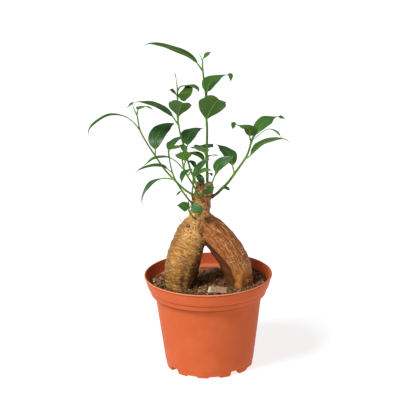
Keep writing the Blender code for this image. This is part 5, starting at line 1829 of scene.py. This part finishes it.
        # Painted shade on the left leg's sides, which turn away from the front.
        flank_shade = ease(0.92, 0.5, -ways[:, 1]) * ease(0.15, 0.5, np.abs(ways[:, 0]))
        values = {
            "right": right, "neck": neck, "shoulder": shoulder, "under": under, "cut": stub, "dark": dark,
            "flank_shade": flank_shade * (1.0 - right) * (1.0 - neck), "low": ease(102.0, 84.0, z),
            "crown": 0.7 * ease(150.0, 154.0, z), "ridge": bell(near_line(places, self.strokes), 5.0),
            "left growth": growths[1], "right growth": growths[2],
        }
        return values, relief

    def build(self, finishes: dict[str, Material]) -> BVHTree:
        """Build the trunk.

        Args:
            finishes: The bark's and the marks' materials by name.

        Returns:
            The trunk's surface, for what grows from it or lies round it.
        """
        piece = self.skin()
        mesh = piece.data
        places, ways = read_mesh(mesh)
        values, relief = self.marks(places, ways)
        places = places + ways * relief[:, None]
        mesh.vertices.foreach_set("co", ((places + AXIS) * MM).ravel())
        mesh.update()
        for name, value in values.items():
            write_mark(mesh, name, value)
        mesh.materials.clear()
        mesh.materials.append(finishes["bark"])
        mesh.shade_smooth()
        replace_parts(settle(piece), "trunk")
        skin = BVHTree.FromPolygons(places.tolist(), [polygon.vertices[:] for polygon in mesh.polygons])
        self.lenticels(skin, finishes["lenticel"])
        return skin

    def lenticels(self, skin: BVHTree, finish: Material) -> None:
        """Lay small corky marks on the bark: dashes across the legs, strokes along the right one."""
        form = Form()
        luck = np.random.default_rng(7)
        left, right, back_left, back_right = self.limbs[1:5]
        steps = np.linspace(-1.0, 1.0, 7)
        taper = np.sqrt(1.03 - steps**2)
        # Limb, count, part of its length, lengths, share along the limb, tones, radius
        kinds = (
            (left, 260, (0.12, 0.92), (1.6, 4.6), 0.0, (0.75, 1.0), 0.19),
            (left, 400, (0.1, 0.92), (0.7, 2.0), 0.0, (0.8, 1.0), 0.22),
            (left, 160, (0.3, 0.8), (0.6, 1.8), 0.0, (0.0, 0.3), 0.12),
            (right, 90, (0.5, 0.92), (1.4, 4.8), 0.0, (0.8, 1.0), 0.3),
            (right, 260, (0.12, 0.8), (1.5, 5.0), 1.0, (0.4, 0.9), 0.18),
            (right, 260, (0.1, 0.85), (0.6, 1.8), 0.0, (0.0, 0.3), 0.11),
            (back_left, 70, (0.1, 0.75), (1.0, 3.0), 0.0, (0.5, 0.9), 0.14),
            (back_right, 60, (0.1, 0.75), (1.0, 3.0), 0.0, (0.3, 0.7), 0.14),
        )
        for limb, count, spread, lengths, lengthwise, tones, radius in kinds:
            run, knots, radii = limb.run()
            for _ in range(count):
                share = luck.uniform(*spread)
                turn = luck.uniform(0.0, 2.0 * math.pi)
                half = luck.uniform(*lengths) / 2.0
                tone = luck.uniform(*tones)
                tilt = luck.normal() * 0.12
                wide = radius * luck.uniform(0.6, 1.25)
                thick = float(np.interp(share * run.lengths[-1], knots, radii))
                stations = share * run.lengths[-1] + steps * half * (lengthwise + tilt)
                turns = turn + steps * half * (1.0 - lengthwise + tilt * lengthwise) / thick
                line = self.follow(skin, run, stations, turns, thick * 1.3)
                if line is not None and not (line[0][1] < 3.0 and tone > 0.3 and limb.side is Side.RIGHT
                                             and self.aside(line).min() < 0.3):
                    points, faces = tube(line, wide * taper, 6)
                    form.add(points, faces, 0, tone=tone)
        for slot in self.slots:
            line = [skin.find_nearest(Vector(slot) + Vector((0.5, 0.0, 0.87)) * reach)[0]
                    for reach in 1.5 * steps]
            points, faces = tube(np.array([spot[:] for spot in line]), 0.24 * taper, 6)
            form.add(points, faces, 0, tone=0.0)
        form.make("lenticels", [finish])

    def follow(self, skin: BVHTree, run: Run, stations: Array, turns: Array,
               reach: float) -> Array | None:
        """Lay a line on the bark.

        Args:
            skin: The trunk's surface.
            run: The middle of the limb.
            stations: Lengths along the limb.
            turns: Turns round it.
            reach: Longest way from the middle to the bark.

        Returns:
            The places on the bark, or None where the line would leave the limb or the open bark.
        """
        middle, ways = run.at(np.clip(stations, 0.0, run.lengths[-1]))
        across = carry_sides(ways, (0.0, 1.0, 0.03))
        over = np.cross(ways, across)
        line = []
        for center, u, v, turn in zip(middle, across, over, turns):
            outward = Vector(u * math.cos(turn) + v * math.sin(turn))
            spot, way, _, distance = skin.ray_cast(Vector(center), outward)
            if spot is None or distance > reach or spot.z < self.soil_line:
                return None
            line.append(np.array(spot[:]) + np.array(way[:]) * 0.02)
        steps = np.linalg.norm(np.diff(line, axis=0), axis=1)
        return np.array(line) if steps.max() < 3.0 * steps.mean() else None


# Fine growth on the trunk


@dataclass(frozen=True)
class FineGrowth:
    """Growth too thin for the solids: a curled sprout, a hooked bud, a thread of petiole, small buds."""

    curl: tuple[Place, ...] = (
        (-20.4, -5.6, 126.2), (-21.4, -6, 128.6), (-22.5, -6.2, 131), (-23.5, -6.2, 133.1),
        (-24.7, -6.2, 134.1), (-26.3, -6, 134.3),
    )
    hook: tuple[Place, ...] = (
        (-24, 8, 249), (-24.3, 7.8, 251), (-24.9, 7.5, 252.4), (-25.6, 7.2, 253.2),
    )
    thread: tuple[Place, ...] = (
        (2.5, -2, 157), (5.5, -4, 157.6), (9.5, -6, 158), (14.6, -7, 159),
    )
    rings: int = 26
    taper: Pair = (1.15, 0.45)
    bud_length: float = 2.6
    bud_radius: float = 0.55
    buds: tuple[tuple[Place, Place], ...] = (
        ((-17.6, -11.4, 153.4), (-0.35, -0.3, 0.9)), ((-17.2, -11, 152.6), (0.2, -0.4, 0.9)),
        ((-12, -6.6, 150.2), (-0.5, -0.5, 0.7)), ((-5.5, -7.6, 151.6), (0.5, -0.5, 0.7)),
        ((0.6, -6, 155.6), (0.6, -0.4, 0.7)), ((-14.6, -14.6, 140.5), (0.6, -0.4, 0.7)),
        ((10.4, -4.2, 154.6), (-0.2, -0.4, 0.9)), ((-9.5, 5.8, 159.5), (-0.4, 0.3, 0.9)),
        ((-6.2, -7.6, 151.6), (0.3, -0.6, 0.5)), ((-7.6, -7.2, 151.2), (-0.1, -0.6, 0.6)),
        ((-8.8, -6.4, 151.4), (-0.4, -0.6, 0.5)), ((-4.6, -7.8, 152.4), (0.5, -0.5, 0.4)),
    )

    def build(self, finishes: Sequence[Material]) -> None:
        """Build the pieces."""
        form = Form()
        for line, radius in ((self.curl, 0.28), (self.hook, 0.4), (self.thread, 0.22)):
            run = Run(line)
            middle, _ = run.at(np.linspace(0.0, run.lengths[-1], self.rings))
            points, faces = tube(middle, radius * np.linspace(*self.taper, self.rings), 8)
            form.add(points, faces, 1, bright=float(line is not self.hook), wood=0.0)
        for place, way in self.buds:
            way = unit(np.array(way))
            steps = np.linspace(0.0, 1.0, 9)
            middle = np.array(place) + way * self.bud_length * steps[:, None]
            points, faces = tube(middle, self.bud_radius * np.sin(np.pi * (0.12 + 0.86 * steps)) ** 0.8, 8)
            form.add(points, faces, 1, bright=1.0, wood=0.0)
        form.make("fine_growth", finishes)


# Studio


@dataclass(frozen=True)
class Lamp:
    """A broad soft light from far away; its angles are degrees right of the front, up, and across."""

    name: str
    azimuth: float
    elevation: float
    breadth: float
    strength: float

    def place(self) -> None:
        """Put the lamp in the scene."""
        light = bpy.data.lights.new(self.name, "SUN")
        light.angle = math.radians(self.breadth)
        light.energy = self.strength
        lamp = put(self.name, light)
        turn, lift = math.radians(self.azimuth), math.radians(self.elevation)
        back = Vector((math.sin(turn) * math.cos(lift), -math.cos(turn) * math.cos(lift), math.sin(lift)))
        lamp.location = back * 2.0
        lamp.rotation_euler = (-back).to_track_quat("-Z", "Y").to_euler()


@dataclass(frozen=True)
class Studio:
    """The camera, the pale floor and the soft light."""

    lens: float = 153.6
    stand: Place = (0.0, -1411.8, 587.9)
    yaw: float = 0.029
    pitch: float = 17.65
    roll: float = 0.9
    floor_radius: float = 8.0
    floor_colour: Colour = (0.42, 0.42, 0.42)
    floor_glow: float = 0.8
    sky: float = 0.2
    lamp: Lamp = Lamp("key", -50.0, 47.0, 20.0, 2.8)

    def camera(self) -> None:
        """Set the camera where the photograph was taken from."""
        yaw, pitch, roll = (math.radians(value) for value in (self.yaw, self.pitch, self.roll))
        ahead = Vector((math.sin(yaw) * math.cos(pitch), math.cos(yaw) * math.cos(pitch), -math.sin(pitch)))
        right = ahead.cross(Vector((0.0, 0.0, 1.0))).normalized()
        up = right.cross(ahead)
        across = right * math.cos(roll) - up * math.sin(roll)
        above = right * math.sin(roll) + up * math.cos(roll)
        data = bpy.data.cameras.new("camera")
        data.lens = self.lens
        data.clip_end = 100.0
        camera = put("camera", data)
        turn = Matrix((across, above, -ahead)).transposed().to_4x4()
        camera.matrix_world = Matrix.Translation(Vector((np.array(self.stand) + AXIS) * MM)) @ turn
        bpy.context.scene.camera = camera

    def floor(self) -> None:
        """Lay the floor."""
        mesh = bpy.data.meshes.new("floor")
        work = bmesh.new()
        bmesh.ops.create_circle(work, cap_ends=True, segments=96, radius=self.floor_radius)
        work.to_mesh(mesh)
        work.free()
        paint = Paint("floor")
        cloud = paint.noise(paint.place(), 0.002, 2.0)
        colour = paint.mix(cloud, self.floor_colour, tuple(value * 0.985 for value in self.floor_colour))
        mesh.materials.append(paint.dress(Base_Color=colour, Roughness=0.9, Specular_IOR_Level=0.0,
                                          Emission_Color=(1.0, 1.0, 1.0), Emission_Strength=self.floor_glow))
        floor = put("floor", mesh)

    def light(self) -> None:
        """Place the lamp and set the sky."""
        self.lamp.place()
        world = bpy.data.worlds.new("sky")
        world.use_nodes = True
        background = world.node_tree.nodes["Background"]
        background.inputs["Color"].default_value = (1.0, 1.0, 1.0, 1.0)
        background.inputs["Strength"].default_value = self.sky
        bpy.context.scene.world = world
        bpy.context.scene.view_settings.view_transform = "Standard"

    def build(self) -> None:
        """Set up the studio."""
        self.camera()
        self.floor()
        self.light()


def main() -> None:
    """Build the studio and every piece, and note the sizes."""
    logging.basicConfig(level=logging.INFO, format="%(message)s")
    Studio().build()
    finishes = {
        "pot": PotPlastic().material(),
        "soil": PottingSoil().material(),
        "fibre": Speck("husk fibre", (0.06, 0.03, 0.014), (0.30, 0.17, 0.08), 1.5).material(),
        "perlite": Speck("perlite", (0.46, 0.40, 0.31), (0.82, 0.78, 0.70), 0.7).material(),
        "moss": Speck("moss", (0.07, 0.10, 0.015), (0.30, 0.36, 0.07), 0.8, 0.7).material(),
        "husk": HuskChip().material(),
        "bark": Bark().material(),
        "lenticel": Lenticel().material(),
    }
    leafy = (Blade().material(), GreenStem().material())
    pot, soil = Pot(), Soil()
    pot.build(finishes["pot"])
    soil.bed(pot, finishes["soil"])
    skin = Trunk().build(finishes)
    soil.litter(skin, finishes)
    Husk().build(finishes["husk"])
    for number, shoot in enumerate(SHOOTS):
        shoot.build(100 + number, leafy, skin)
    FineGrowth().build(leafy)


if __name__ == "__main__":
    main()
